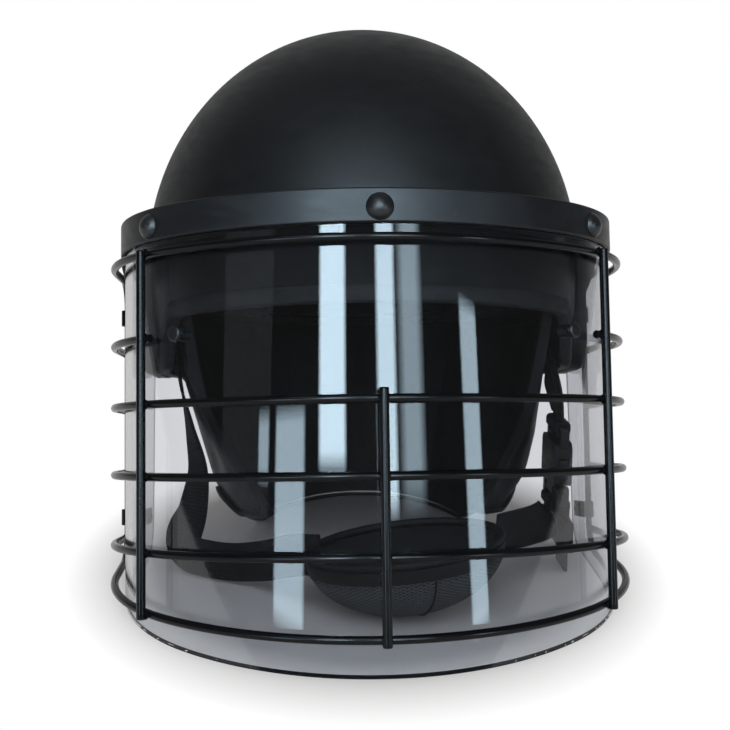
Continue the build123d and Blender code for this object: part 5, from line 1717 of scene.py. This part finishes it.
@dataclass
class GuardParts:
    """The soft guard: a neck panel and two cheek flaps on an oval funnel, with a bound edge."""

    top_z: float = 98
    foot_z: float = -36
    top_half: tuple[float, float] = (126, 134)
    foot_half: tuple[float, float] = (87, 119.5)
    wall: float = 6
    seam_y: float = 40
    binding: float = 2.4
    proud: float = 0.8
    swell: tuple[float, float] = (0.0, 4.0)
    pressed: tuple[Triple, Triple] = ((-30, 8, 3.0), (-9, 74, 4.6))
    press_reach: float = 18
    quilt_turns: Triple = (-0.62, 0.0, 0.62)

    def halves(self, height: Array, inset: Array) -> tuple[Array, Array]:
        """Half width and half length of the funnel at a height: straight from top to foot."""
        share = (height - self.foot_z) / (self.top_z - self.foot_z)
        ends = zip(self.top_half, self.foot_half)
        width, length = (foot + share * (top - foot) - inset for top, foot in ends)
        return width, length

    def at(self, along: Array, height: Array, inset: Array) -> Array:
        """Points on the right of the funnel drawn in by inset, over places in the side view."""
        width, length = self.halves(height, inset)
        ahead = (along - DOME.centre_y) / length
        return np.stack(np.broadcast_arrays(width * np.sqrt(np.clip(1 - ahead**2, 0, 1)), along, height), -1)

    def round_at(self, turn: Array, height: Array, inset: Array) -> Array:
        """Points of the funnel at an angle from straight behind, positive to the right."""
        width, length = self.halves(height, inset)
        across, along = width * np.sin(turn), DOME.centre_y + length * np.cos(turn)
        return np.stack(np.broadcast_arrays(across, along, height), -1)

    def drawn_in(self, by: float) -> Array:
        """Side outline from the flap's top front round its tip and arch to the nape's foot, moved in."""
        low, rear = (float(STANCE.table(y)) for y in (74, 150))
        corners = [(-56, 103), (-34, 40), (-84, -25), (-52, -25), (-8, -10), (74, low), (150, rear)]
        return moved_in(rounded_line(corners, [36, 6, 12, 18, 18]), by)

    def foot_height(self, along: Array, by: float) -> Array:
        """Height of the lower edge behind the tip, moved in by a distance."""
        line = self.drawn_in(by)
        lower = line[np.argmin(line[:, 0]) :]
        order = np.argsort(lower[:, 0])
        return np.interp(along, lower[order, 0], lower[order, 1])

    def low_by(self, rows: int, columns: int, pitches: tuple[float, float], quilt: Array | float) -> Array:
        """How far each face of a panel stays below its full height near its edges and quilting.

        It is 1.7 mm at an edge and fades as a bell curve over 14 mm. The top edge counts as eight
        rows away, because it is hidden in the shell.

        Args:
            rows: rows of the panel's net.
            columns: columns of the net.
            pitches: distance between columns and between rows.
            quilt: distance of each point from the nearest quilting line.

        Returns:
            The depths.
        """
        across = np.minimum(np.arange(columns), np.arange(columns)[::-1]) * pitches[0]
        up = np.minimum(np.arange(rows), np.arange(rows)[::-1] + 8) * pitches[1]
        to_edge = np.minimum(np.minimum(across[None], up[:, None]), quilt)
        return 1.7 * np.exp(-((to_edge / 7.0) ** 2))

    def flap(self, side: Side) -> Thing:
        """A cheek flap: the Coons blend of its four edges in the side view, carried to both faces.

        Below the ear it swells outwards by a half sine from the front edge to the seam, and the strap
        presses a shallow dent into it, a bell curve of the distance from the dent's middle.
        """
        line = self.drawn_in(self.binding)
        tip = int(np.argmin(line[:, 0] + 0.55 * line[:, 1]))
        front, foot = line[: tip + 1], line[tip:]
        columns, rows = 90, 84
        bottom = evenly(foot[foot[:, 0] <= self.seam_y - 0.2], count=columns)
        left = evenly(front[front[:, 1] <= self.top_z][::-1], count=rows)
        right = np.stack([np.full(rows, bottom[-1, 0]), np.linspace(bottom[-1, 1], left[-1, 1], rows)], -1)
        top = np.stack([np.linspace(left[-1, 0], right[-1, 0], columns), np.full(columns, left[-1, 1])], -1)
        net = filled_between(bottom, top, left, right)
        y, z = net[..., 0], net[..., 1]
        low = self.low_by(rows, columns, (1.15, 1.45), math.inf)
        number = int(side is Side.RIGHT)
        across, up = np.linspace(0, 1, columns), np.linspace(0, 1, rows)[:, None]
        belly = self.swell[number] * np.sin(math.pi * across) * np.clip((62 - z) / 40, 0, 1)
        belly = belly * np.sin(0.5 * math.pi * np.clip(6 * up, 0, 1))
        along, height, depth = self.pressed[number]
        belly = belly - depth * np.exp(-((np.hypot(y - along, z - height) / self.press_reach) ** 2))
        faces = [self.at(y, z, low - belly), self.at(y, z, self.wall - low - belly)]
        word = side.word
        return padding(f"cheek_flap_{word}_padding", side.of(walled(faces)), GUARD_HIDE, f"cheek_flap_{word}")

    def seam_turn(self, height: Array) -> Array:
        """Angle from straight behind at which the funnel crosses the seam."""
        _, length = self.halves(height, 0.0)
        return np.arccos(np.clip((self.seam_y + 0.2 - DOME.centre_y) / length, -1, 1))

    def neck(self) -> Thing:
        """The neck panel: angle across and height up, with its foot on the lower edge."""
        columns, rows = 150, 80
        u, h = np.linspace(-1, 1, columns)[None], np.linspace(0, 1, rows)[:, None]
        height = np.full((rows, columns), 30.0)
        for _ in range(40):
            along = self.round_at(u * self.seam_turn(height), height, 0.0)[..., 1]
            foot = self.foot_height(along, self.binding)
            height = foot + h * (self.top_z - foot)
        turn = u * self.seam_turn(height)
        quilt = np.min(np.abs(turn[..., None] - np.array(self.quilt_turns)), -1) * 110
        low = self.low_by(rows, columns, (2.0, 1.5), quilt + 2.0)
        faces = [self.round_at(turn, height, low), self.round_at(turn, height, self.wall - low)]
        return padding("neck_padding", walled(faces), GUARD_HIDE, "neck_guard")

    def edge_path(self, by: float) -> tuple[Array, Array]:
        """The bound edge in the middle of the wall.

        Args:
            by: how far it lies inside the outline.

        Returns:
            Its points, and the funnel's outward directions there.
        """
        line, middle = self.drawn_in(by), self.wall / 2
        front = line[(line[:, 1] <= self.top_z) & (line[:, 0] < self.seam_y + 30)]
        _, length = self.halves(front[:, 1], middle)
        turn = np.arccos(np.clip((front[:, 0] - DOME.centre_y) / length, -1, 1))
        rear_turn = np.linspace(turn[-1], 0, 160)[1:]
        height = np.full(len(rear_turn), -30.0)
        for _ in range(60):
            height = self.foot_height(self.round_at(rear_turn, height, middle)[:, 1], by)
        right = np.stack([np.concatenate([turn, rear_turn]), np.concatenate([front[:, 1], height])], -1)
        whole = np.concatenate([right, (right * [-1, 1])[::-1][1:]])
        path, ahead = (self.round_at(whole[:, 0], whole[:, 1], inset) for inset in (middle, middle - 1))
        both = evenly(np.concatenate([path, unit(ahead - path)], 1), step=1.3)
        return both[:, :3], unit(both[:, 3:])

    def piping(self) -> Thing:
        """Binding sewn over the guard's edge: a rounded strip, held just above the table."""
        path, out = self.edge_path(self.binding / 2)
        along = slopes(path)
        out = square_to(out, along)
        section = rounded_rectangle(self.wall + 2 * self.proud - 0.2, self.binding - 0.1, 1.15, 20)
        points = carry(section, path, out, np.cross(out, along))
        points[..., 2] = np.maximum(points[..., 2], STANCE.table(points[..., 1]) + 0.05)
        return piece("guard_binding", [sleeve(points)], [PIPING_COVER], ("guard_piping",), sharp=60)

    def stitching(self) -> Thing:
        """Stitches on the outer face, inside the binding."""
        path, out = self.edge_path(self.binding + 2.6)
        face = path + out * (self.wall / 2 - 1.35)
        return piece("guard_stitches", stitches(face, out, 3.2, (1.0, 0.3, 0.35)), [THREAD])

    def build(self) -> None:
        """Neck panel, flaps, binding and stitches."""
        self.neck()
        for side in Side:
            self.flap(side)
        self.piping()
        self.stitching()


# The chin strap


@dataclass
class Ribbon:
    """A run of webbing: its surface, and the path, across and face directions at its samples."""

    patch: Patch
    path: Array
    across: Array
    face: Array


@dataclass
class StrapParts:
    """The webbing of the chin strap, from the rivets to the buckle and the chin cup.

    Each route is a list of points, as shares of the shell's half width, half length and crown, with
    the direction that the webbing faces at each of them.
    """

    width: float = 24
    thickness: float = 2
    gap: float = 0.3
    anchor_y: float = -8
    anchor_z: float = 82
    buckle: Triple = (115, -30, 56)
    upper_bar: float = 35.5
    upper_bar_thickness: float = 5
    lower_bar: float = -13.0
    lower_bar_thickness: float = 8
    tail_foot: float = 0.9

    def scaled(self, shares: list[Triple]) -> Array:
        """Standing points from shares of the shell's half width, half length and crown."""
        return np.array(shares) * [DOME.half_width, DOME.half_length, DOME.crown]

    def seat(self, side: Side) -> Array:
        """The strap's first two points, over and under its rivet, inside the shell."""
        heights = np.array([self.anchor_z + 8, self.anchor_z - 8])
        out = DOME.side_x(np.full(2, self.anchor_y), heights, 5.6) - 3 * self.gap - self.thickness / 2
        return STANCE.lean_back(np.stack([side.value * out, np.full(2, self.anchor_y), heights], -1))

    def webbing(self, path: Array, across: Array, face: Array) -> Patch:
        """The webbing's rounded section carried along a path."""
        section = rounded_rectangle(self.width, self.thickness, 0.95, 44)
        return sleeve(carry(section, path, across, face))

    def ribbon(self, points: list[Array], normals: list[Triple], count: int) -> Ribbon:
        """Webbing through points with its face turned to normals.

        Args:
            points: control points of its centre line, in groups.
            normals: directions of its face at those points.
            count: number of samples.

        Returns:
            The run of webbing.
        """
        face = unit(smooth_curve(np.array(normals, float), count))
        path, along, face = faced(smooth_curve(np.concatenate(points), count), face, count=count)
        across = np.cross(along, face)
        return Ribbon(self.webbing(path, across, face), path, across, face)

    def edge_stitches(self, strap: Ribbon, *parts: tuple[float, float]) -> list[Patch]:
        """Two rows of stitches near the webbing's edges on one face, over parts of its length."""
        rows = []
        for start, end in parts:
            first = int(start * len(strap.path))
            part = slice(first, max(first + 4, int(end * len(strap.path))))
            for reach in (3 - self.width / 2, self.width / 2 - 3):
                line = strap.path[part] + strap.across[part] * reach + strap.face[part] * self.thickness / 2
                rows += stitches(line, strap.face[part], 2.8, (0.95, 0.28, 0.34), 0.02)
        return rows

    def sewn(self, word: str, patches: list[Patch], sewing: list[Patch]) -> None:
        """One length of strap as a piece, and its stitches as another."""
        standing = Drawing.STANDING
        piece(f"strap_{word}", patches, [WEBBING], (f"chin_strap_{word}",), move=standing, sharp=50)
        piece(f"strap_{word}_stitches", sewing, [THREAD], move=standing)

    def left(self) -> None:
        """Left webbing: down outside the flap, round on its edge at the table, and to the chin cup."""
        shares = [
            (-0.86, 0.035, 0.82), (-0.83, 0.01, 0.70), (-0.795, -0.05, 0.565), (-0.762, -0.11, 0.41),
            (-0.785, -0.165, 0.265), (-0.825, -0.205, 0.165), (-0.80, -0.235, 0.105), (-0.70, -0.285, 0.092),
            (-0.58, -0.345, 0.10), (-0.45, -0.45, 0.145), (-0.32, -0.58, 0.215), (-0.22, -0.64, 0.235),
        ]
        normals = [
            *[(-1, -0.1, 0)] * 4, (-1, -0.3, 0), (-1, -0.7, 0), (-0.75, -1, 0), (-0.3, -1, 0), (-0.15, -1, 0),
            (-0.25, -1, 0), (-0.4, -1, 0), (-0.7, -0.8, 0), (-0.8, -0.6, 0), (-0.7, -0.6, 0),
        ]
        strap = self.ribbon([self.seat(Side.LEFT), self.scaled(shares)], normals, 260)
        self.sewn("left", [strap.patch], self.edge_stitches(strap, (0.0, 0.06), (0.86, 0.95)))

    def loop(self, bar_z: float, bar_thickness: float) -> Patch:
        """A ring of webbing round a buckle bar: hole and outline at one edge, and again at the other."""
        hole_size = (bar_thickness + 2 * self.gap, 3 + 2 * self.gap)
        outline = rounded_rectangle(*(size + self.thickness * 2 for size in hole_size), 2.6, 48)
        hole = rounded_rectangle(*hole_size, 0.9, 48)
        x, y, _ = self.buckle
        rows = [
            np.stack([x + ring[:, 0], np.full(48, y + half * self.width / 2), bar_z + ring[:, 1]], -1)
            for ring, half in ((hole, -1.0), (outline, -1.0), (outline, 1.0), (hole, 1.0))
        ]
        return grid(np.stack(rows), wrap_rows=True, wrap_columns=True)

    def right(self) -> None:
        """Right webbing: from its rivet to the buckle's upper bar, round it and sewn to itself."""
        x, y, mouth = self.buckle
        bar_z = mouth + self.upper_bar
        shares = [(0.845, -0.01, 0.82), (0.838, -0.115, 0.765), (0.84, -0.198, 0.70)]
        points = [self.seat(Side.RIGHT), self.scaled(shares), np.array([[x, y, bar_z + 2.8]])]
        strap = self.ribbon(points, [*[(1, -0.1, 0)] * 5, (1, 0, 0)], 90)
        under = slice(38, 86)
        lap = strap.path[under] - strap.face[under] * (self.thickness + 0.15)
        section = rounded_rectangle(self.width - 0.6, self.thickness - 0.2, 0.85, 44)
        lapped = sleeve(carry(section, lap, strap.across[under], strap.face[under]))
        sewing = self.edge_stitches(strap, (0.0, 0.1), (0.46, 0.92))
        self.sewn("right", [strap.patch, lapped, self.loop(bar_z, self.upper_bar_thickness)], sewing)

    def lower(self) -> None:
        """Lower webbing: from the chin cup over the plug's bar, with its free end hanging outside."""
        x, y, mouth = self.buckle
        bar_z, count = mouth + self.lower_bar, 60
        leg = self.lower_bar_thickness / 2 + self.gap + self.thickness / 2
        shares = [(0.79, -0.255, 0.235), (0.70, -0.37, 0.245), (0.59, -0.51, 0.275), (0.49, -0.63, 0.30)]
        normals = [(1, 0, 0), (0.9, -0.5, 0.5), (0.8, -0.7, 0.15), (0.9, -0.6, 0), (0.8, -0.6, 0)]
        strap = self.ribbon([np.array([[x - leg, y, bar_z]]), self.scaled(shares)], normals, 120)
        down = np.linspace((x + leg, y, bar_z), (x + leg, y, self.tail_foot), count)
        side, out = (np.broadcast_to(way, (count, 3)) for way in ([0.0, -1.0, 0.0], [1.0, 0.0, 0.0]))
        patches = [strap.patch, self.webbing(down, side, out), self.loop(bar_z, self.lower_bar_thickness)]
        self.sewn("lower", patches, self.edge_stitches(strap, (0.72, 0.86)))

    def build(self) -> None:
        """All webbing, the buckle and the keeper."""
        self.left()
        self.right()
        self.lower()
        for node, edge, body in (
            ("buckle_socket", 0.5, HELMET),
            ("buckle_plug", 0.4, HELMET),
            ("buckle_prong_front", 0.3, "prong_front"),
            ("buckle_prong_rear", 0.3, "prong_rear"),
            ("strap_keeper", 0.5, "keeper"),
        ):
            smoothed(node, BUCKLE_PLASTIC, edge, body)


# The chin cup


@dataclass
class CupParts:
    """The chin cup: an oblong bowl of spacer mesh with a collar, a soft lining and a bound rim."""

    centre: Triple = (16, -95, 38.5)
    halves: Triple = (56, 35, 38)
    tilt: float = math.radians(6)
    wall: float = 4
    lining: float = 3
    cord: float = 2.2
    skin: float = 0.25
    collar: float = 0.13
    columns: int = 160
    seams: tuple[float, float] = (72, 284)

    def placed(self, points: Array) -> Array:
        """Points about the cup's own centre, tilted to one side and moved to their place."""
        cosine, sine = math.cos(self.tilt), math.sin(self.tilt)
        x, y, z = points[..., 0], points[..., 1], points[..., 2]
        return np.stack([x * cosine - z * sine, y, x * sine + z * cosine], -1) + self.centre

    def bowl(self, inset: float, start: float = 0.0, end: float = 1.0, rows: int = 40) -> Array:
        """Rows of the half ellipsoid drawn in by inset, between shares of the way to its pole.

        A point is (a cos u cos v, b sin u cos v, -c sin v), with v from 0 at the rim to a quarter turn.

        Args:
            inset: how far the bowl is drawn in.
            start: share of the way at the first row.
            end: share of the way at the last row.
            rows: number of rows.

        Returns:
            Points of shape (rows, columns, 3).
        """
        v = np.linspace(start, end, rows)[:, None] * math.pi / 2
        u = full_turn(self.columns)[None]
        a, b, c = (half - inset for half in self.halves)
        return self.placed(
            np.stack([a * np.cos(u) * np.cos(v), b * np.sin(u) * np.cos(v), -c * np.sin(v) + 0 * u], -1)
        )

    def away(self, points: Array) -> Array:
        """Directions from the cup's centre to points."""
        return unit(points - np.array(self.centre))

    def walls(self) -> None:
        """Outer wall in two cloths, and the lining."""
        collar, inner = self.bowl(self.skin, 0.0, self.collar, 10), self.bowl(self.wall)
        patches = [
            sleeve(collar, 1),
            sleeve(self.bowl(self.skin, self.collar, 1.0, 36)),
            sleeve(inner[::-1], 1),
            sleeve(np.stack([inner[0], collar[0]]), 1),
        ]
        piece("cup_wall", patches, [CUP_MESH, CUP_HIDE], ("chin_cup",), move=Drawing.STANDING, sharp=50)
        gap = self.wall + 0.3
        lining = sleeve(np.concatenate([self.bowl(gap), self.bowl(gap + self.lining)[::-1]]))
        padding("cup_padding", [lining], PAD_CLOTH, "chin_cup_lining", Drawing.STANDING)

    def edging(self) -> None:
        """The bound rim, the stitches under the collar and the two seams of the mesh."""
        ring = circle(full_turn(260))
        half = np.array(self.halves[:2]) - 2
        path = self.placed(np.concatenate([half * ring, np.full((260, 1), self.cord)], -1))
        out = self.placed(np.concatenate([ring, np.zeros((260, 1))], -1)) - self.centre
        cord = tube(path, out, self.cord, 14, closed=True)
        standing = Drawing.STANDING
        piece("cup_binding", [cord], [PIPING_COVER], ("chin_cup_piping",), move=standing, sharp=80)
        line = self.bowl(0.1, self.collar + 0.02, 1.0, 30)[0]
        sewn = stitches(line, self.away(line), 3.0, (0.95, 0.3, 0.35))
        piece("cup_stitches", sewn, [THREAD], move=standing)
        net = self.bowl(0.15, self.collar, 0.96, 60)
        lines = [net[:, int(turn / 360 * self.columns)] for turn in self.seams]
        ridges = [tube(line, self.away(line), 0.75, 8, round_off=0.5) for line in lines]
        piece("cup_seams", ridges, [PIPING_COVER], move=standing, sharp=80)

    def build(self) -> None:
        """All of the chin cup."""
        self.walls()
        self.edging()


# The studio


@dataclass
class Studio:
    """Pale floor, soft lamps, white backdrop and the camera."""

    focal: float = 1143.0
    frame_width: float = 730.0
    sensor: float = 36.0
    place: Triple = (-0.0418, -0.7008, 0.2655)
    ahead: Triple = (0.0577, 0.9780, -0.2004)
    right: Triple = (0.99828, -0.05861, 0.00155)
    up: Triple = (0.01023, 0.20015, 0.97971)
    footprint: tuple[float, float] = (0.158, 0.19)
    floor_half: float = 6
    # The darker floor colour stands in for shade near and under the helmet; from floor_near to floor_far, in
    # footprints, this painted shadow ring fades into the white glow.
    floor_colour: tuple[float, ...] = (0.65, 0.61, 0.585, 1)
    floor_near: float = 0.84
    floor_far: float = 1.18
    soft_light: float = 0.66
    gloss_ahead: float = 0.07
    gloss_behind: float = 0.5
    card_distance: float = -2.0
    card_colour: tuple[float, ...] = (0.66, 0.86, 1.0, 1)
    lamps_face: Triple = (0, 0, 0.15)

    def placement(self, *columns: Array) -> Matrix:
        """A placement from its three axes and its place."""
        return Matrix([*np.stack(columns, -1).tolist(), [0, 0, 0, 1]])

    def camera(self) -> None:
        """The camera at the photograph's angle and distance."""
        data = bpy.data.cameras.new("camera")
        data.sensor_width = self.sensor
        data.lens = self.focal / self.frame_width * self.sensor
        data.clip_start = 0.01
        made = into_scene("camera", data)
        right, up, ahead = (unit(np.array(way)) for way in (self.right, self.up, self.ahead))
        made.matrix_world = self.placement(right, up, -ahead, np.array(self.place))
        bpy.context.scene.camera = made

    def panel(self, name: str, corners: list[Triple], sheet: ShaderSheet) -> Thing:
        """A flat panel of the studio with the sheet's material."""
        mesh = bpy.data.meshes.new(name)
        mesh.from_pydata(corners, [], [(0, 1, 2, 3)])
        mesh.materials.append(sheet.material)
        made = into_scene(name, mesh)
        return made

    def floor(self) -> None:
        """A wide pale floor that keeps a soft shadow and turns white away from the helmet.

        The glow's share runs from near to far with the distance from the middle, in footprints, so the
        floor near and under the helmet is darker: partly real shadow, partly a painted shadow ring.
        """
        sheet = ShaderSheet("pale_floor")
        scale = (1 / self.footprint[0], 1 / self.footprint[1], 1.0)
        place = sheet.stretched(sheet.place.outputs["Object"], scale)
        length = sheet.node("VectorMath", {0: place}, operation="LENGTH")
        far = sheet.ranged(length.outputs["Value"], 0.0, 1.0, self.floor_near, self.floor_far)
        glow = sheet.node("Emission", {"Strength": 1.0})
        straight, turned_back = self.ray_kinds(sheet)
        seen = sheet.sum(straight, sheet.ranged(turned_back, 0, self.gloss_behind), "MAXIMUM")
        share = sheet.sum(seen, far, "MULTIPLY")
        blend = sheet.node("MixShader", {0: share, 1: sheet.shader.outputs[0], 2: glow.outputs[0]})
        sheet.shown(blend.outputs[0])
        sheet.feed(Base_Color=self.floor_colour, Roughness=0.75, Specular_IOR_Level=0.2)
        half = self.floor_half
        self.panel("floor", [(-half, -half, 0), (half, -half, 0), (half, half, 0), (-half, half, 0)], sheet)

    def ray_kinds(self, sheet: NodeSheet) -> tuple[Socket, Socket]:
        """Two shares of a ray: straight from the camera or through glass, and turned back by gloss."""
        rays = sheet.node("LightPath", {}).outputs
        bounced, unbounced = (sheet.ranged(rays["Glossy Depth"], *ends) for ends in ((0, 1), (1, 0)))
        through = sheet.sum(rays["Is Transmission Ray"], unbounced, "MULTIPLY")
        inside = sheet.sum(rays["Is Transmission Ray"], bounced, "MULTIPLY")
        straight = sheet.sum(rays["Is Camera Ray"], through, "MAXIMUM")
        return straight, sheet.sum(rays["Is Glossy Ray"], inside, "MAXIMUM")

    def backdrop(self) -> None:
        """White all round for the camera, a dimmer room in gloss, and an even soft light."""
        world = bpy.data.worlds.new("backdrop")
        bpy.context.scene.world = world
        world.use_nodes = True
        sheet = NodeSheet(world.node_tree)
        straight, turned_back = self.ray_kinds(sheet)
        _, depth, _ = sheet.parts(sheet.place.outputs["Generated"])
        room = sheet.ranged(depth, self.gloss_ahead, self.gloss_behind, 0.25, 0.95)
        gloss = sheet.sum(turned_back, room, "MULTIPLY")
        soft = sheet.ranged(sheet.sum(straight, turned_back, "MAXIMUM"), self.soft_light, 0)
        background = sheet.nodes["Background"].inputs
        sheet.put(background["Strength"], sheet.sum(sheet.sum(straight, gloss, "MAXIMUM"), soft))
        sheet.put(background["Color"], (1, 1, 1, 1))

    def lamp(
        self,
        name: str,
        place: Triple,
        size: tuple[float, float],
        radiance: float,
        colour: Triple = (1, 1, 1),
        gloss: bool = True,
    ) -> None:
        """One soft panel lamp facing the helmet.

        Args:
            name: its name.
            place: where it hangs, in metres.
            size: its width and height.
            radiance: how bright its face is, where one is white.
            colour: its colour.
            gloss: whether shiny surfaces mirror it.
        """
        data = bpy.data.lights.new(name, "AREA")
        data.shape = "RECTANGLE"
        data.size, data.size_y = size
        data.energy = radiance * math.pi * size[0] * size[1]
        data.color = colour
        made = into_scene(name, data)
        back = unit(np.array(place) - np.array(self.lamps_face))
        side = unit(np.cross([0.0, 0.0, 1.0], back))
        made.matrix_world = self.placement(side, np.cross(back, side), back, np.array(place))
        made.visible_glossy = gloss

    def card(
        self,
        name: str,
        across: tuple[float, float],
        height: tuple[float, float],
        radiance: float,
        fade: float = 0.06,
    ) -> None:
        """An upright bright card that only gloss sees, with soft edges.

        Its glow is the radiance times a smooth step in from each of its four edges.

        Args:
            name: its name.
            across: its left and right edge at the cards' distance, in metres.
            height: its lower and upper edge.
            radiance: how bright its middle is.
            fade: width of its soft edges.
        """
        sheet = ShaderSheet(name)
        x, _, z = sheet.parts(sheet.place.outputs["Object"])
        shares = []
        for place, (low, high) in ((x, across), (z, height)):
            rise = sheet.ranged(place, 0, 1, low, low + fade)
            fall = sheet.ranged(place, 1, 0, high - fade, high)
            shares.append(sheet.sum(rise, fall, "MULTIPLY"))
        strength = sheet.ranged(sheet.sum(*shares, "MULTIPLY"), 0, radiance)
        glow = sheet.node("Emission", {"Color": self.card_colour, "Strength": strength})
        sheet.shown(glow.outputs[0])
        (left, right), (foot, head), y = across, height, self.card_distance
        made = self.panel(name, [(left, y, foot), (right, y, foot), (right, y, head), (left, y, head)], sheet)
        made.visible_camera = made.visible_diffuse = made.visible_transmission = made.visible_shadow = False

    def build(self) -> None:
        """Everything that isn't the helmet."""
        bpy.context.scene.view_settings.view_transform = "Standard"
        self.camera()
        self.floor()
        self.backdrop()
        self.lamp("sky_panel", (-0.3, -1.15, 1.95), (1.5, 0.9), 1.6, (0.8, 0.9, 1.0))
        self.lamp("left_panel", (-1.9, -1.5, 0.9), (0.9, 1.2), 0.4, (0.85, 0.93, 1.0), gloss=False)
        self.lamp("right_panel", (1.9, 0.2, 1.1), (0.8, 1.2), 0.4, gloss=False)
        self.card("left_card", (-0.79, -0.35), (0.55, 2.0), 23.0)
        self.card("middle_card", (0.05, 0.36), (0.45, 2.0), 20.0)
        self.card("middle_card_edge", (0.36, 0.78), (0.45, 2.0), 8.0, 0.12)
        self.card("right_card", (1.46, 1.92), (0.1, 1.05), 11.0)
        self.card("low_left_card", (-1.6, -0.98), (0.15, 0.74), 11.0)
        self.card("low_left_card_edge", (-2.05, -1.72), (0.5, 0.74), 9.0)


def main() -> None:
    """Build every sub-assembly in order, then the studio."""
    logging.basicConfig(level=logging.INFO, format="%(name)s %(message)s")
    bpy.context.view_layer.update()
    for parts in (ShellParts, VisorParts, GrilleParts, LinerParts, GuardParts, StrapParts, CupParts, Studio):
        parts().build()


if __name__ == "__main__":
    main()
